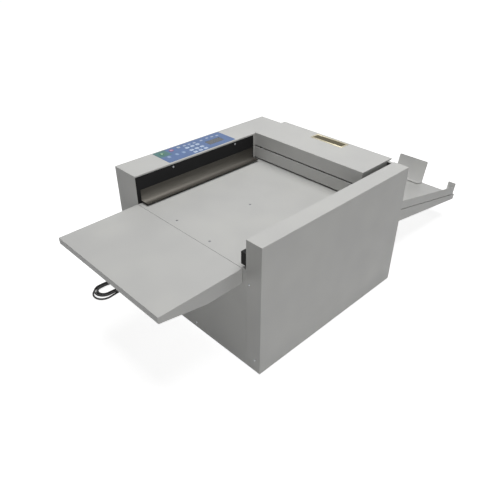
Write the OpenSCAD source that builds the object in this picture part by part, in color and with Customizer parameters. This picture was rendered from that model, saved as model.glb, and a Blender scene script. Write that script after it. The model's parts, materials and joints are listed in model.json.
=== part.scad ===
// Desktop paper creasing machine. X runs across the machine, Y the way the paper travels, Z up.
// Inside the modules x starts at the control side's outer face, y at the front face and z at the floor.

/* [Body] */
// Width across both side housings
body_w = 700; // [640:5:780]
// Depth from the front face to the back face
body_d = 714; // [704:1:760]
// Height of the side housings
body_h = 478; // [474:1:510]
// Height of the housings' top above the feed bed
bed_drop = 101.5; // [100:0.5:112]
// Width of the control-side housing
left_w = 116; // [112:1:130]
// Width of the far-side housing
right_w = 60; // [54:1:80]
// Thickness of the folded steel sheet
sheet = 1.5; // [1:0.1:2]
// Height of the rubber feet
foot_h = 8; // [5:0.5:14]
// Radius of a rubber foot
foot_r = 14; // [8:1:20]
// Distance from the body's sides to the middle of a foot
foot_inset = 60; // [40:1:90]
// Height of the base pan's rim
rim_h = 30; // [15:1:34]
// Depth of the flange that carries the front of the bed
bed_flange = 40; // [34:1:50]

/* [Rear cover] */
// Distance from the cover's front to the body's back face
cover_d = 159; // [156:1:169]
// Gap between the hinged cover and the far-side housing
cover_gap = 17.5; // [8:0.5:43]
// Height of the cover's top above the side housings
cover_rise = 4.5; // [4:0.5:8]
// Height of the cover's folded front
cover_front_h = 50; // [40:1:56]
// Height of the cover's side lips
cover_lip_h = 24; // [8:1:26]
// Height of the cover's rear lip
cover_rear_lip = 6; // [3:0.5:7]
// How far the cover reaches past the back face
cover_back = 13; // [11:0.5:18]
// Radius of a hinge knuckle
knuckle_r = 3.5; // [3:0.1:4]
// Radius of a hinge pin
pin_r = 1.5; // [1:0.1:1.8]
// Width of a hinge
hinge_w = 60; // [40:2:90]
// Depth of a hinge leaf
leaf_d = 24; // [16:1:30]

/* [Badge] */
// Width of the badge frame
badge_w = 147; // [100:1:200]
// Depth of the badge frame
badge_d = 44; // [30:1:60]
// Width of the frame's rim
badge_rim = 7; // [4:0.5:12]
// Height of the frame above the cover
badge_h = 1.6; // [1:0.1:3]
// Distance from the cover's front to the middle of the badge
badge_y = 139; // [60:1:145]
// Distance from the cover's left edge to the middle of the badge
badge_x = 255; // [120:1:300]

/* [Paper path] */
// Height of the paper slot over the bed
slot_h = 6; // [5:0.5:8]
// Gap between the entry panel and the closed cover
panel_gap = 5.5; // [3:0.5:8]
// Radius of the feed rollers
roller_r = 12; // [10:0.5:13]
// Radius of the roller journals
journal_r = 6; // [4:0.5:7]
// Radius of the driven shafts under their rubber sleeves
core_r = 8; // [7:0.5:9]
// Gap between two rollers for the sheet
nip = 0.3; // [0.2:0.1:0.6]
// Distance from the cover's front to the infeed rollers
infeed_back = 45; // [42:1:50]
// Distance from the infeed rollers to the crease line
crease_back = 40; // [38:1:44]
// Distance from the crease line to the outfeed rollers
outfeed_back = 36; // [35:1:40]
// Number of rubber sleeves on a driven shaft
sleeve_count = 5; // [3:1:7]
// Length of a rubber sleeve
sleeve_l = 56; // [30:1:60]

/* [Crease unit] */
// Travel of the crease blade
stroke = 4; // [3:0.5:5]
// Gap between the raised blade and the bed's level
blade_gap = 3; // [2.5:0.1:3.5]
// Thickness of the crease blade
blade_t = 1.5; // [1:0.1:2]
// Width of the carrier and of the die bar
carrier_w = 24; // [22:1:26]
// Height of the carrier
carrier_h = 24; // [20:1:26]
// Height of the carrier above the bed's level
carrier_up = 21.5; // [18:0.5:24]
// Height of the eccentric shaft above the carrier
cam_up = 24; // [24:0.5:26]
// Radius of an eccentric
cam_r = 16; // [12:0.5:17]
// Width of an eccentric
cam_w = 14; // [12:1:20]
// Distance from a side frame to the middle of an eccentric
cam_inset = 70; // [40:1:120]
// Radius of a guide post
post_r = 4; // [3:0.5:5]

/* [Drive] */
// Size of a motor's square face
motor_s = 57; // [50:1:60]
// Length of a motor
motor_l = 76; // [50:1:100]
// Radius of a motor shaft
motor_shaft_r = 4; // [3:0.5:5]
// Radius of a motor's centring boss
boss_r = 19; // [12:1:20]
// Radius of the toothed pulleys
pulley_r = 16; // [12:1:18]
// Width of the toothed belts
belt_w = 9.4; // [7:0.2:10]
// Thickness of the toothed belts
belt_t = 2; // [1.5:0.1:2.5]
// Height of a pulley's rims over its teeth
rim_over = 3; // [2:0.5:4]

/* [Frames] */
// Thickness of a side frame
frame_t = 4; // [3:0.5:5]
// Distance from the control-side housing's inner wall to its frame
frame_in_left = 12; // [10:1:16]
// Distance from the far-side housing's inner wall to its frame
frame_in_right = 6; // [5:0.5:10]
// Distance from the housings' top to the frames' top
frame_drop = 12; // [10:1:13]
// Radius of a cross bar
bar_r = 8; // [5:1:12]

/* [Extension table] */
// Gap between the extension table and the far-side housing, in line with the exit tray
table_gap = 14; // [4:1:44]
// Length of the extension table
table_l = 288; // [200:1:340]
// How far the table's front end droops, in degrees
table_droop = 1; // [0.5:0.1:2]
// Depth of its flanges at the machine
table_deep = 51; // [46:1:70]
// Depth of its front lip
table_lip = 21; // [12:1:30]
// Length of the flanges' level part
table_level = 131; // [80:1:180]

/* [Exit tray] */
// Height of the tray's top at the machine
tray_h = 257; // [240:1:280]
// Slope of the tray in degrees
tray_slope = 12.5; // [8:0.5:14]
// Length of the tray along its slope
tray_l = 645; // [500:1:700]
// Depth of the tray's flanges at the machine
tray_deep = 60; // [50:1:70]
// Depth of the tray's far lip
tray_lip = 24; // [14:1:30]
// Width of the stop paddle
paddle_w = 147; // [100:1:200]
// Height of the stop paddle above the tray
paddle_h = 103; // [60:1:120]
// Depth of the stop paddle's foot
paddle_foot = 45; // [30:1:60]
// Radius of the paddle's corners
paddle_corner = 6; // [3:0.5:10]
// Distance from the tray's far end to the paddle
paddle_back = 15; // [8:1:60]
// Distance from the tray's left edge to the paddle
paddle_x = 204; // [150:1:250]
// Height of the side guide's wall above the tray
guide_h = 38; // [25:1:60]
// Height of the side guide's end flap above the tray
flap_h = 52; // [40:1:70]
// Width of the end flap and of the guide's foot
flap_w = 35; // [20:1:50]
// Distance from the tray's far end to the end flap
flap_back = 21; // [10:1:60]
// Distance from the machine to the guide's near end
guide_near = 20; // [12:1:60]
// Thickness of the magnet strips under the paddle and the guide
magnet_t = 2.4; // [1.5:0.1:3]

/* [Bed fittings] */
// Height of the black plate's upper edge below the housing's top
plate_drop = 5; // [3:0.5:12]
// Gap between the black plate and the entry panel
plate_gap = 9.5; // [8.5:0.5:60]
// Height of the side guide's foot above the bed
guide_lift = 8; // [6:0.5:12]
// Height of the side guide
side_h = 40.5; // [30:0.5:50]
// Width of the side guide's foot
side_foot = 36; // [20:1:50]
// Distance from the front face to the side guide
side_front = 15; // [5:1:40]
// Gap between the side guide and the entry panel
side_gap = 15; // [14:0.5:60]
// Width of the black rail
rail_w = 22; // [12:1:30]
// Height of the black rail
rail_h = 42; // [25:1:50]
// Height of the black rail above the bed
rail_lift = 11.5; // [8:0.5:16]
// Gap between the black rail and the entry panel
rail_gap = 15.5; // [13.5:0.5:60]

/* [Keypad] */
// Width of the keypad's membrane
pad_w = 103; // [96:1:104]
// Length of the keypad's membrane
pad_l = 311; // [280:1:340]
// Distance from the front face to the membrane
pad_y = 149; // [80:1:200]
// Thickness of the membrane
pad_t = 0.4; // [0.3:0.1:0.6]
// Height of the membrane's raised keys
dome_h = 0.3; // [0.2:0.1:0.6]
// Width of the display window
window_w = 34; // [24:1:36]
// Length of the display window
window_l = 72; // [50:1:76]
// Radius of the start and stop keys
key_r = 9; // [7:0.5:10]
// Radius of the reset key
small_key_r = 7; // [5:0.5:8]
// Travel of the round keys
key_travel = 0.6; // [0.4:0.1:0.8]
// Height of the round keys above the membrane
key_rise = 0.8; // [0.8:0.1:1.5]

/* [Power inlet] */
// Distance from the front face to the inlet plate
inlet_y = 220; // [180:1:260]
// Height of the inlet plate's opening above the floor
inlet_z = 50; // [48:1:80]
// Length of the inlet plate's opening
inlet_l = 120; // [100:1:140]
// Height of the inlet plate's opening
inlet_h = 56; // [44:1:70]
// Depth of the inlet plate's recess
inlet_d = 12; // [11:0.5:16]
// Width of the rocker
rocker_w = 12; // [10:0.5:14]
// Height of the rocker
rocker_h = 19; // [16:0.5:20]
// Tilt of the rocker each way, in degrees
rocker_tilt = 9; // [6:1:10]
// Diameter of the power cord
cord_d = 7; // [7:0.5:7]

/* [Hidden] */
$fn = 48;

// Overrun of every cut past the face that it opens
over = 1;
// Seam between neighbouring panels
seam = 0.5;
// Gap between a moving piece and what it passes
run_gap = 0.3;
// Radial clearance of a shaft that turns or slides in its bore
fit_gap = 0.05;
// Gap that keeps two pressed pieces of one node apart
hair = 0.03;

body_right = body_w - right_w;
panel_x = left_w + seam;
panel_w = body_right - seam - panel_x;
bed_h = body_h - bed_drop;
bed_under = bed_h - sheet;
pan_top = foot_h + sheet;

frame_left_x = left_w - frame_in_left - frame_t;
frame_left_in = frame_left_x + frame_t;
frame_right_x = body_right + frame_in_right;
frame_right_out = frame_right_x + frame_t;
frame_span = frame_right_x - frame_left_in;
frame_front = 20;
frame_rear_gap = 14;
frame_back = body_d - frame_rear_gap;
frame_bed_gap = 6.5;
frame_low_z = bed_under - frame_bed_gap;
cover_y = body_d - cover_d;
frame_high_z = body_h - frame_drop;
frame_step = 22;
frame_step_y = cover_y + frame_step;

cover_top = body_h + cover_rise;
cover_w = panel_w - cover_gap;
cover_under = cover_top - sheet;
panel_top = cover_top - cover_front_h - panel_gap;
axis_z = cover_under - knuckle_r;
axis_y = body_d + knuckle_r;
hinge_share = 0.178;
hinge_x = [panel_x + cover_w * hinge_share, panel_x + cover_w * (1 - hinge_share)];

infeed_y = cover_y + infeed_back;
die_y = infeed_y + crease_back;
outfeed_y = die_y + outfeed_back;
lower_z = bed_h - roller_r;
upper_z = bed_h + nip + roller_r;
bed_roller_gap = 3;
bed_end = infeed_y - roller_r - bed_roller_gap;
rubber_gap = 8;

carrier_z = bed_h + carrier_up;
carrier_top = carrier_z + carrier_h;
blade_tip = bed_h + blade_gap;
blade_root = 8;
groove_d = 2.5;
groove_play = 0.6;
groove_w = blade_t + groove_play;
die_h = 16.5;
post_inset = 6;
post_x = [frame_left_in + post_inset, frame_right_x - post_inset];
post_over = 8;
post_root = 12;
cam_z = carrier_top + cam_up;
cam_throw = stroke / 2;
cam_x = [frame_left_in + cam_inset, frame_right_x - cam_inset];
yoke_r = cam_r + cam_throw + run_gap;
yoke_wall = 5.5;
yoke_t = 10;

bush_wall = 3;
bush_r = journal_r + bush_wall;
bush_rim = 2;
bush_rim_r = bush_r + bush_rim;
bush_rim_t = 2;
shaft_end = 4;
upper_over = 2;

belt_r = pulley_r + run_gap;
pulley_rim_t = 1;
pulley_w = belt_w + 2 * run_gap + 2 * pulley_rim_t;
// The belts stand off the frame, side by side; each motor lies ahead of its shaft and under the bed
belt_off = 17.7;
belt_pitch = 22;
feed_belt_x = frame_left_x - belt_off;
crease_belt_x = feed_belt_x - belt_pitch;
feed_motor_ahead = 100;
feed_motor_drop = 106;
crease_motor_ahead = 40;
crease_motor_drop = 166;
feed_motor_y = infeed_y - feed_motor_ahead;
feed_motor_z = bed_h - feed_motor_drop;
crease_motor_y = die_y - crease_motor_ahead;
crease_motor_z = bed_h - crease_motor_drop;
motor_places = [[feed_motor_y, feed_motor_z], [crease_motor_y, crease_motor_z]];
motor_hole = 23.6;
boss_t = 1.6;
shaft_deep = 22;

table_x = left_w;
table_w = body_right - table_gap - table_x;
hang_gap = 0.5;
hook_w = 20;
hook_t = 10;
hook_plate = 2;
hook_play = 0.4;
hook_lip = 12;
hook_slot_h = 25.5;
hook_inset = 44;
hook_x = [table_x + hook_inset, table_x + table_w - hook_inset];
table_hook_drop = 40;
table_hook_z = bed_h - table_hook_drop;
tray_y = body_d + hang_gap;
tray_hook_drop = 27;
tray_hook_z = tray_h - tray_hook_drop;
exit_drop = 4.5;
rear_top = bed_h - exit_drop;
exit_h = 26;

table_reach = hang_gap + table_l * cos(table_droop);
paddle_s = tray_l - paddle_back;
tray_reach = tray_y + tray_l * cos(tray_slope);
paddle_reach = tray_y + paddle_s * cos(tray_slope) + paddle_h * sin(tray_slope);
back_reach = max(tray_reach, paddle_reach);
mid_y = (back_reach - table_reach) / 2;
guide_end = tray_l - flap_back;

pad_x = 6;
// Places on the membrane as shares of its width and length
start_share = [0.233, 0.08];
stop_share = [0.204, 0.222];
reset_share = [0.165, 0.334];
window_share = [0.58, 0.778];
pale_shares = [
    [0.184, 0.418], [0.194, 0.489], [0.214, 0.559],
    [0.223, 0.666], [0.184, 0.765], [0.214, 0.839], [0.252, 0.91]
];
blue_shares = [[0.602, 0.092], [0.597, 0.206], [0.621, 0.296]];
digit_x_shares = [0.398, 0.66, 0.874];
digit_y_shares = [0.405, 0.482, 0.56];
digit_size = [13, 16];
pale_size = [9, 12];
blue_size = [15, 12];

standoff_h = 12;
board_t = 1.6;
board_top = body_h - sheet - standoff_h;
board_edge = 6;
touch_h = 4;
touch_gap = 0.9;
key_rim = 1.5;
key_rim_t = 1.3;
key_top = body_h + pad_t + key_rise;

screw_r = 2;
screw_head_r = 3.6;
screw_head_h = 2;
screw_l = 8;
screw_play = 0.2;
motor_thread = 5;
cross_w = 1;
cross_d = 0.9;
// Screws on the front face: distance from the right side and height
front_screw_shares = [[0.06857, 0.69456], [0.03143, 0.11297], [0.43286, 0.05858]];
front_screws = [for (s = front_screw_shares) [body_w * s[0], body_h * s[1]]];
// Screws on the bed: distances from the left housing's inner wall and the front face
bed_screw_shares = [[0.33588, 0.04957], [0.65267, 0.04103]];
beam_screw_share = [0.50191, 0.46325];
function on_bed(share) = [(body_right - left_w) * share[0], bed_end * share[1]];
bed_screws = [for (s = bed_screw_shares) on_bed(s)];
beam_screw = on_bed(beam_screw_share);
beam_w = 24;
flush_r = 4;
flush_h = 1;
// Screws on the black plate: distances from the front face
plate_screw_shares = [0.28288, 0.80721];
plate_screws = [for (s = plate_screw_shares) cover_y * s];

plate_t = 1.5;
inlet_rim = 6;
switch_wall = 2;
relief_share = 0.25;
switch_share = 0.7;
relief_y = inlet_y + inlet_l * relief_share;
relief_z = inlet_z + inlet_h / 2;
switch_y = inlet_y + inlet_l * switch_share;
relief_out = 20;
rocker_set = 3;
rocker_axis_x = inlet_d + rocker_set;
rocker_front = 7;
rocker_rear = 3;

cord_r = cord_d / 2;
// Route of the cord from its strain relief down to the floor and to the hank
lead_points = [
    [-20, 250, 78], [-30, 250, 78], [-42, 249, 76], [-53, 247, 70], [-61, 243, 60], [-66, 237, 47],
    [-69, 228, 33], [-70, 216, 20], [-70, 201, 10], [-69, 184, 5], [-67, 164, 3.5], [-64, 142, 3.5],
    [-60, 120, 3.5], [-56, 98, 3.5], [-52, 76, 3.5], [-49, 54, 3.5], [-46.5, 32, 3.5],
    [-45, 10, 3.5], [-44.5, -12, 3.7], [-44.5, -26, 4.3], [-44.5, -37.8, 4.5], [-44.5, -44.8, 4.5]
];
// The hank: middle of its runs, length of a run, widest and narrowest half width, height of its layers
hank_x = -0.5;
hank_y = -86.8;
hank_run = 70;
hank_wide = 44;
hank_loops = 2;
hank_pitch = 11.5;
hank_low = 4.5;
hank_layer = 7.6;
hank_sides = 6;
hank_rings = 24;
hank_end = 3.875;
// Route of the cord from the hank to the plug
tail_points = [
    [-7.5, -9.2375, 12.1], [-22, -9.2375, 12.1], [-34, -9.4, 12.3], [-46, -9.9, 12.2], [-58, -10.6, 11.5],
    [-69, -11, 11], [-76, -11, 11]
];
tie_y = -75;
tie_t = 0.8;
tie_w = 6;
tie_gap = 0.6;
plug_l = 28;
plug_r = 11;
plug_tail = 20;
pin_l = 17;
pin_w = 6.3;
pin_t = 1.5;
pin_apart = 6.35;
earth_r = 2.4;

// Moves what is drawn in the machine's own corner frame to the middle of the whole part's footprint
module place() {
    translate([-body_w / 2, -mid_y, 0]) children();
}

// A cylinder along X from x to x + l, at y and z
module bar_x(x, y, z, r, l) {
    translate([x, y, z]) rotate([0, 90, 0]) cylinder(r = r, h = l);
}

// A cylinder along Y from y to y + l, at x and z
module bar_y(x, y, z, r, l) {
    translate([x, y, z]) rotate([-90, 0, 0]) cylinder(r = r, h = l);
}

// A block from one corner, with its size
module block(x, y, z, size) {
    translate([x, y, z]) cube(size);
}

// A flat outline with its four corners rounded
module round_rect(w, l, r) {
    translate([r, 0]) square([w - 2 * r, l]);
    translate([0, r]) square([w, l - 2 * r]);
    for (x = [r, w - r], y = [r, l - r]) translate([x, y]) circle(r = r);
}

// A hook that hangs behind a panel, from the middle of the plate that carries it
module hook(x, y, z) {
    reach = sheet / 2 + hang_gap + sheet + hook_play + hook_plate;
    translate([x - hook_w / 2, y, z]) {
        cube([hook_w, reach, hook_t]);
        translate([0, reach - hook_plate, -hook_lip]) cube([hook_w, hook_plate, hook_lip + hook_t]);
    }
}

// The slot in a panel for one hook, tall enough to lift the hook out
module hook_slot(x, y, z) {
    block(x - hook_w / 2 - seam, y - over, z - run_gap,
          [hook_w + 2 * seam, sheet + 2 * over, hook_slot_h]);
}

// Flange outline in the YZ plane, extruded across one sheet at x
module side_flange(x, outline) {
    translate([x, 0, 0]) rotate([90, 0, 90]) linear_extrude(height = sheet) polygon(outline);
}

// Vector arithmetic for the swept tubes
function unit(v) = v / norm(v);
function tangent(p, i) = unit(p[min(i + 1, len(p) - 1)] - p[max(i - 1, 0)]);
function ring(p, i, r, n) =
    let (t = tangent(p, i), s = unit(cross(t, [0, 0, 1])), u = cross(s, t))
    [for (k = [0:n - 1]) p[i] + r * (cos(360 * k / n) * s + sin(360 * k / n) * u)];
function wall_faces(m, n) = [
    for (i = [0:m - 2], k = [0:n - 1], half = [0, 1])
        let (a = i * n + k, b = i * n + (k + 1) % n, c = a + n, d = b + n)
        half == 0 ? [a, c, b] : [b, c, d]
];
function end_faces(m, n) = [
    for (k = [1:n - 2], far = [0, 1])
        far == 0 ? [0, k, k + 1] : [(m - 1) * n, (m - 1) * n + k + 1, (m - 1) * n + k]
];

// A tube with triangular faces along a list of points
module tube(p, r, n) {
    polyhedron(points = [for (i = [0:len(p) - 1]) each ring(p, i, r, n)],
               faces = concat(wall_faces(len(p), n), end_faces(len(p), n)));
}

// Half width of the hank's loop after t turns: it spirals in and out again at a steady rate
function hank_half(t) = hank_wide - hank_pitch * (t < hank_loops ? t : 2 * hank_loops - t);
// Height of the hank's cord after t turns: it climbs a layer along the run where the spiral reverses
function hank_height(t) = hank_low + hank_layer * min(1, max(0, (t - hank_loops) * 4));
// Place on the loop after t turns: down the left run, round the near fold, up the right run, round the far one
function hank_point(t) =
    let (u = t - floor(t), w = hank_half(t), part = floor(u * 4), v = u * 4 - part)
    [
        hank_x + w * (part == 0 ? -1 : part == 2 ? 1 : part == 1 ? -cos(180 * v) : cos(180 * v)),
        hank_y + (part == 0 ? hank_run * (0.5 - v) : part == 2 ? hank_run * (v - 0.5)
            : part == 1 ? -hank_run / 2 - w * sin(180 * v) : hank_run / 2 + w * sin(180 * v)),
        hank_height(t)
    ];
// Turns at which a ring stands: three steps along each run and nine round each fold
run_steps = 3;
fold_steps = hank_rings / 2 - run_steps;
function loop_turns(k) = [
    for (side = [0, 1], j = [0:hank_rings / 2 - 1])
        k + side / 2 + (j < run_steps ? j / run_steps / 4 : (1 + (j - run_steps) / fold_steps) / 4)
];
hank_turns = [for (k = [0:2 * hank_loops - 1], t = loop_turns(k)) if (t < hank_end) t];
lead_end = lead_points[len(lead_points) - 1];
hank_path = concat([lead_end], [for (t = hank_turns) hank_point(t)], [hank_point(hank_end)], [tail_points[0]]);

function path_length(p) = len(p) < 2 ? 0 : [for (i = 0, s = 0; i < len(p);
    s = s + (i < len(p) - 1 ? norm(p[i + 1] - p[i]) : 0), i = i + 1) s][len(p) - 1];
// Least distance between the hank's centre line and itself, leaving out neighbours along it
hank_apart = min([for (i = [0:len(hank_path) - 1], j = [i + 9:1:len(hank_path) - 1])
    norm(hank_path[i] - hank_path[j])]);
echo(cord_length = path_length(lead_points) + path_length(hank_path) + path_length(tail_points));
echo(hank_least_gap = hank_apart - cord_d);

// Structure

module base_pan() {
    inset = sheet + seam;
    color("gray") place() difference() {
        block(inset, inset, foot_h, [body_w - 2 * inset, body_d - 2 * inset, sheet + rim_h]);
        block(inset + sheet, inset + sheet, pan_top,
              [body_w - 2 * inset - 2 * sheet, body_d - 2 * inset - 2 * sheet, rim_h + over]);
        for (x = [foot_inset, body_w - foot_inset], y = [foot_inset, body_d - foot_inset])
            translate([x, y, foot_h - over]) cylinder(r = screw_head_r, h = sheet + 2 * over);
    }
}

// Four feet under the pan and two bumpers under the closed cover's front
module feet_and_bumpers() {
    bumper_r = 5;
    color("black") place() {
        for (x = [foot_inset, body_w - foot_inset], y = [foot_inset, body_d - foot_inset])
            translate([x, y, 0]) {
                cylinder(r = foot_r, h = foot_h);
                cylinder(r = screw_head_r, h = foot_h + sheet);
            }
        for (x = [panel_x + foot_inset / 2, panel_x + cover_w - foot_inset / 2])
            translate([x, cover_y + bumper_r, panel_top]) cylinder(r = bumper_r, h = panel_gap - run_gap);
    }
}

// Outline of a side frame in the YZ plane: low under the bed, high beside the rollers
module frame_outline() {
    polygon([
        [frame_front, pan_top], [frame_back, pan_top], [frame_back, frame_high_z],
        [frame_step_y, frame_high_z], [frame_step_y, frame_low_z], [frame_front, frame_low_z]
    ]);
}

// Places of the bushes in the YZ plane
bush_places = [
    [infeed_y, lower_z], [infeed_y, upper_z], [outfeed_y, lower_z], [outfeed_y, upper_z], [die_y, cam_z]
];

module side_frame(x) {
    difference() {
        translate([x, 0, 0]) rotate([90, 0, 90]) linear_extrude(height = frame_t) frame_outline();
        for (p = bush_places) bar_x(x - over, p[0], p[1], bush_r, frame_t + 2 * over);
    }
}

module left_side_frame() {
    color("silver") place() difference() {
        side_frame(frame_left_x);
        for (p = motor_places) {
            bar_x(frame_left_x - over, p[0], p[1], boss_r + screw_play, frame_t + 2 * over);
            motor_holes(frame_left_x - over, p, screw_r + screw_play, frame_t + 2 * over);
        }
    }
}

module right_side_frame() {
    color("silver") place() side_frame(frame_right_x);
}

module motor_holes(x, p, r, l) {
    for (dy = [-motor_hole, motor_hole], dz = [-motor_hole, motor_hole])
        bar_x(x, p[0] + dy, p[1] + dz, r, l);
}

bar_inset = 60;
bar_places = [[bar_inset, bar_inset], [bar_inset, bed_h - 2 * bar_inset], [frame_back - bar_inset, bar_inset]];
angle_w = 46;
angle_h = 25;
angle_t = 2;
angle_gap = 2;
angle_front = bed_flange + angle_gap;
angle_l = cover_y - angle_front;

module bed_angle(x, dir) {
    for (size = [[angle_t, angle_h], [angle_w, angle_t]])
        block(x - (dir < 0 ? size[0] : 0), angle_front, bed_under - size[1], [size[0], angle_l, size[1]]);
}

module cross_members() {
    color("silver") place() {
        for (p = bar_places) bar_x(frame_left_in, p[0], p[1], bar_r, frame_span);
        difference() {
            union() {
                bed_angle(frame_left_in, 1);
                bed_angle(frame_right_x, -1);
                block(frame_left_in, beam_screw[1] - beam_w / 2, bed_under - angle_t,
                      [frame_span, beam_w, angle_t]);
            }
            translate([left_w + beam_screw[0], beam_screw[1], bed_under - angle_t - over])
                cylinder(r = screw_r, h = angle_t + 2 * over);
        }
    }
}

// Housings and panels

wall_past = 1;
wall_l = cover_y + wall_past;

module key_openings(extra) {
    for (k = [[start_share, key_r], [stop_share, key_r], [reset_share, small_key_r]])
        translate([pad_x + pad_w * k[0][0], pad_y + pad_l * k[0][1], 0])
            cylinder(r = k[1] + run_gap, h = extra);
    translate([pad_x + pad_w * window_share[0] - window_w / 2,
               pad_y + pad_l * window_share[1] - window_l / 2, 0])
        cube([window_w, window_l, extra]);
}

module left_cover() {
    color("gainsboro") place() difference() {
        union() {
            block(0, 0, foot_h, [sheet, body_d, body_h - foot_h]);
            block(0, 0, body_h - sheet, [left_w, body_d, sheet]);
            block(0, 0, foot_h, [left_w, sheet, body_h - foot_h]);
            block(0, body_d - sheet, foot_h, [left_w, sheet, body_h - foot_h]);
            block(left_w - sheet, 0, bed_under, [sheet, wall_l, body_h - bed_under]);
        }
        translate([0, 0, body_h - sheet - over]) key_openings(sheet + 2 * over);
        block(-over, inlet_y, inlet_z, [sheet + 2 * over, inlet_l, inlet_h]);
        for (y = plate_screws)
            bar_x(left_w - sheet - over, y, plate_screw_z, screw_r, sheet + 2 * over);
    }
}

module right_cover() {
    color("gainsboro") place() difference() {
        union() {
            block(body_w - sheet, 0, foot_h, [sheet, body_d, body_h - foot_h]);
            block(body_right, 0, body_h - sheet, [right_w, body_d, sheet]);
            block(body_right, 0, foot_h, [right_w, sheet, body_h - foot_h]);
            block(body_right, body_d - sheet, foot_h, [right_w, sheet, body_h - foot_h]);
            block(body_right, 0, bed_under, [sheet, wall_l, body_h - bed_under]);
        }
        for (s = [front_screws[0], front_screws[1]])
            bar_y(body_w - s[0], -over, s[1], screw_r, sheet + 2 * over);
    }
}

module front_panel() {
    color("gainsboro") place() difference() {
        union() {
            block(panel_x, 0, foot_h, [panel_w, sheet, bed_under - foot_h]);
            block(panel_x, 0, bed_under - sheet, [panel_w, bed_flange, sheet]);
        }
        for (x = hook_x) hook_slot(x, 0, table_hook_z);
        bar_y(body_w - front_screws[2][0], -over, front_screws[2][1], screw_r, sheet + 2 * over);
        for (s = bed_screws)
            translate([left_w + s[0], s[1], bed_under - sheet - over])
                cylinder(r = screw_r, h = sheet + 2 * over);
    }
}

rear_flange = 22;

module rear_lower_panel() {
    color("gainsboro") place() difference() {
        union() {
            block(panel_x, body_d - sheet, foot_h, [panel_w, sheet, rear_top - foot_h]);
            block(panel_x, body_d - rear_flange, rear_top - sheet, [panel_w, rear_flange, sheet]);
        }
        for (x = hook_x) hook_slot(x, body_d - sheet, tray_hook_z);
    }
}

upper_flange = 12;
upper_top = axis_z - sheet;
lip_gap = 3;

module rear_upper_panel() {
    color("gainsboro") place() {
        block(panel_x, body_d - sheet, rear_top + exit_h, [panel_w, sheet, upper_top - rear_top - exit_h]);
        block(panel_x, body_d - upper_flange, upper_top - sheet, [panel_w, upper_flange, sheet]);
    }
}

module flush_screw_seat(x, y) {
    translate([x, y, bed_under - over]) cylinder(r = screw_r + screw_play, h = sheet + 2 * over);
    translate([x, y, bed_h - flush_h]) cylinder(r = flush_r + screw_play, h = flush_h + over);
}

sensor_ahead = 30;
sensor_y = infeed_y - sensor_ahead;
sensor_x = body_w / 2;
sensor_hole = 3;

module feed_bed() {
    color("gainsboro") place() difference() {
        block(panel_x, 0, bed_under, [panel_w, bed_end, sheet]);
        for (s = concat(bed_screws, [beam_screw])) flush_screw_seat(left_w + s[0], s[1]);
        translate([sensor_x, sensor_y, bed_under - over]) cylinder(r = sensor_hole, h = sheet + 2 * over);
    }
}

plate_z = bed_h + seam;
plate_l = cover_y - plate_gap - sheet;
plate_screw_in = 9.5;
plate_screw_z = body_h - plate_drop - plate_screw_in;

module side_plate() {
    color("#1e1e20") place() difference() {
        block(left_w, sheet, plate_z, [plate_t, plate_l, body_h - plate_drop - plate_z]);
        for (y = plate_screws)
            bar_x(left_w - over, y, plate_screw_z, screw_r + screw_play, plate_t + 2 * over);
    }
}

module side_guide() {
    side_l = cover_y - side_gap - side_front;
    x = left_w + plate_t;
    z = bed_h + guide_lift;
    color("darkgray") place() {
        block(x, side_front, z, [sheet, side_l, side_h]);
        block(x, side_front, z, [side_foot, side_l, sheet]);
    }
}

module right_rail() {
    rail_l = cover_y - rail_gap - sheet;
    wall = 2;
    color("#1e1e20") place() difference() {
        block(body_right - rail_w, sheet, bed_h + rail_lift, [rail_w, rail_l, rail_h]);
        block(body_right - rail_w + wall, sheet + wall, bed_h + rail_lift + wall,
              [rail_w, rail_l - 2 * wall, rail_h - 2 * wall]);
    }
}

entry_flange = 20;
entry_tab = 17;

module entry_panel() {
    z = bed_h + slot_h;
    tab_y = wall_l + seam;
    color("gainsboro") place() {
        block(panel_x, cover_y, z, [panel_w, sheet, panel_top - z]);
        block(panel_x, cover_y, panel_top - sheet, [panel_w, entry_flange, sheet]);
        block(frame_left_in, tab_y, panel_top - sheet, [frame_span, entry_tab, sheet]);
        for (x = [frame_left_in, frame_right_x - sheet])
            block(x, tab_y, frame_low_z - entry_tab, [sheet, entry_tab, panel_top - frame_low_z + entry_tab]);
    }
}

// Hinged rear cover

module rear_cover() {
    d = body_d + cover_back - cover_y;
    color("gainsboro") place() {
        block(panel_x, cover_y, cover_under, [cover_w, d, sheet]);
        block(panel_x, cover_y, cover_top - cover_front_h, [cover_w, sheet, cover_front_h]);
        block(panel_x, cover_y + d - sheet, cover_top - cover_rear_lip, [cover_w, sheet, cover_rear_lip]);
        for (x = [panel_x, panel_x + cover_w - sheet])
            block(x, cover_y, cover_top - cover_lip_h,
                  [sheet, body_d - upper_flange - lip_gap - cover_y, cover_lip_h]);
    }
}

// The fixed leaf carries the middle knuckle and the pin
module hinge_fixed_leaves() {
    fixed_r = knuckle_r - run_gap;
    color("silver") place() for (x = hinge_x) {
        block(x - hinge_w / 2, body_d, axis_z - leaf_d, [hinge_w, sheet, leaf_d - knuckle_r - run_gap]);
        block(x - hinge_w / 6, body_d, axis_z - leaf_d, [hinge_w / 3, sheet, leaf_d - fixed_r / 2]);
        bar_x(x - hinge_w / 6, axis_y, axis_z, fixed_r, hinge_w / 3);
        bar_x(x - hinge_w / 2, axis_y, axis_z, pin_r, hinge_w);
    }
}

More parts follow.
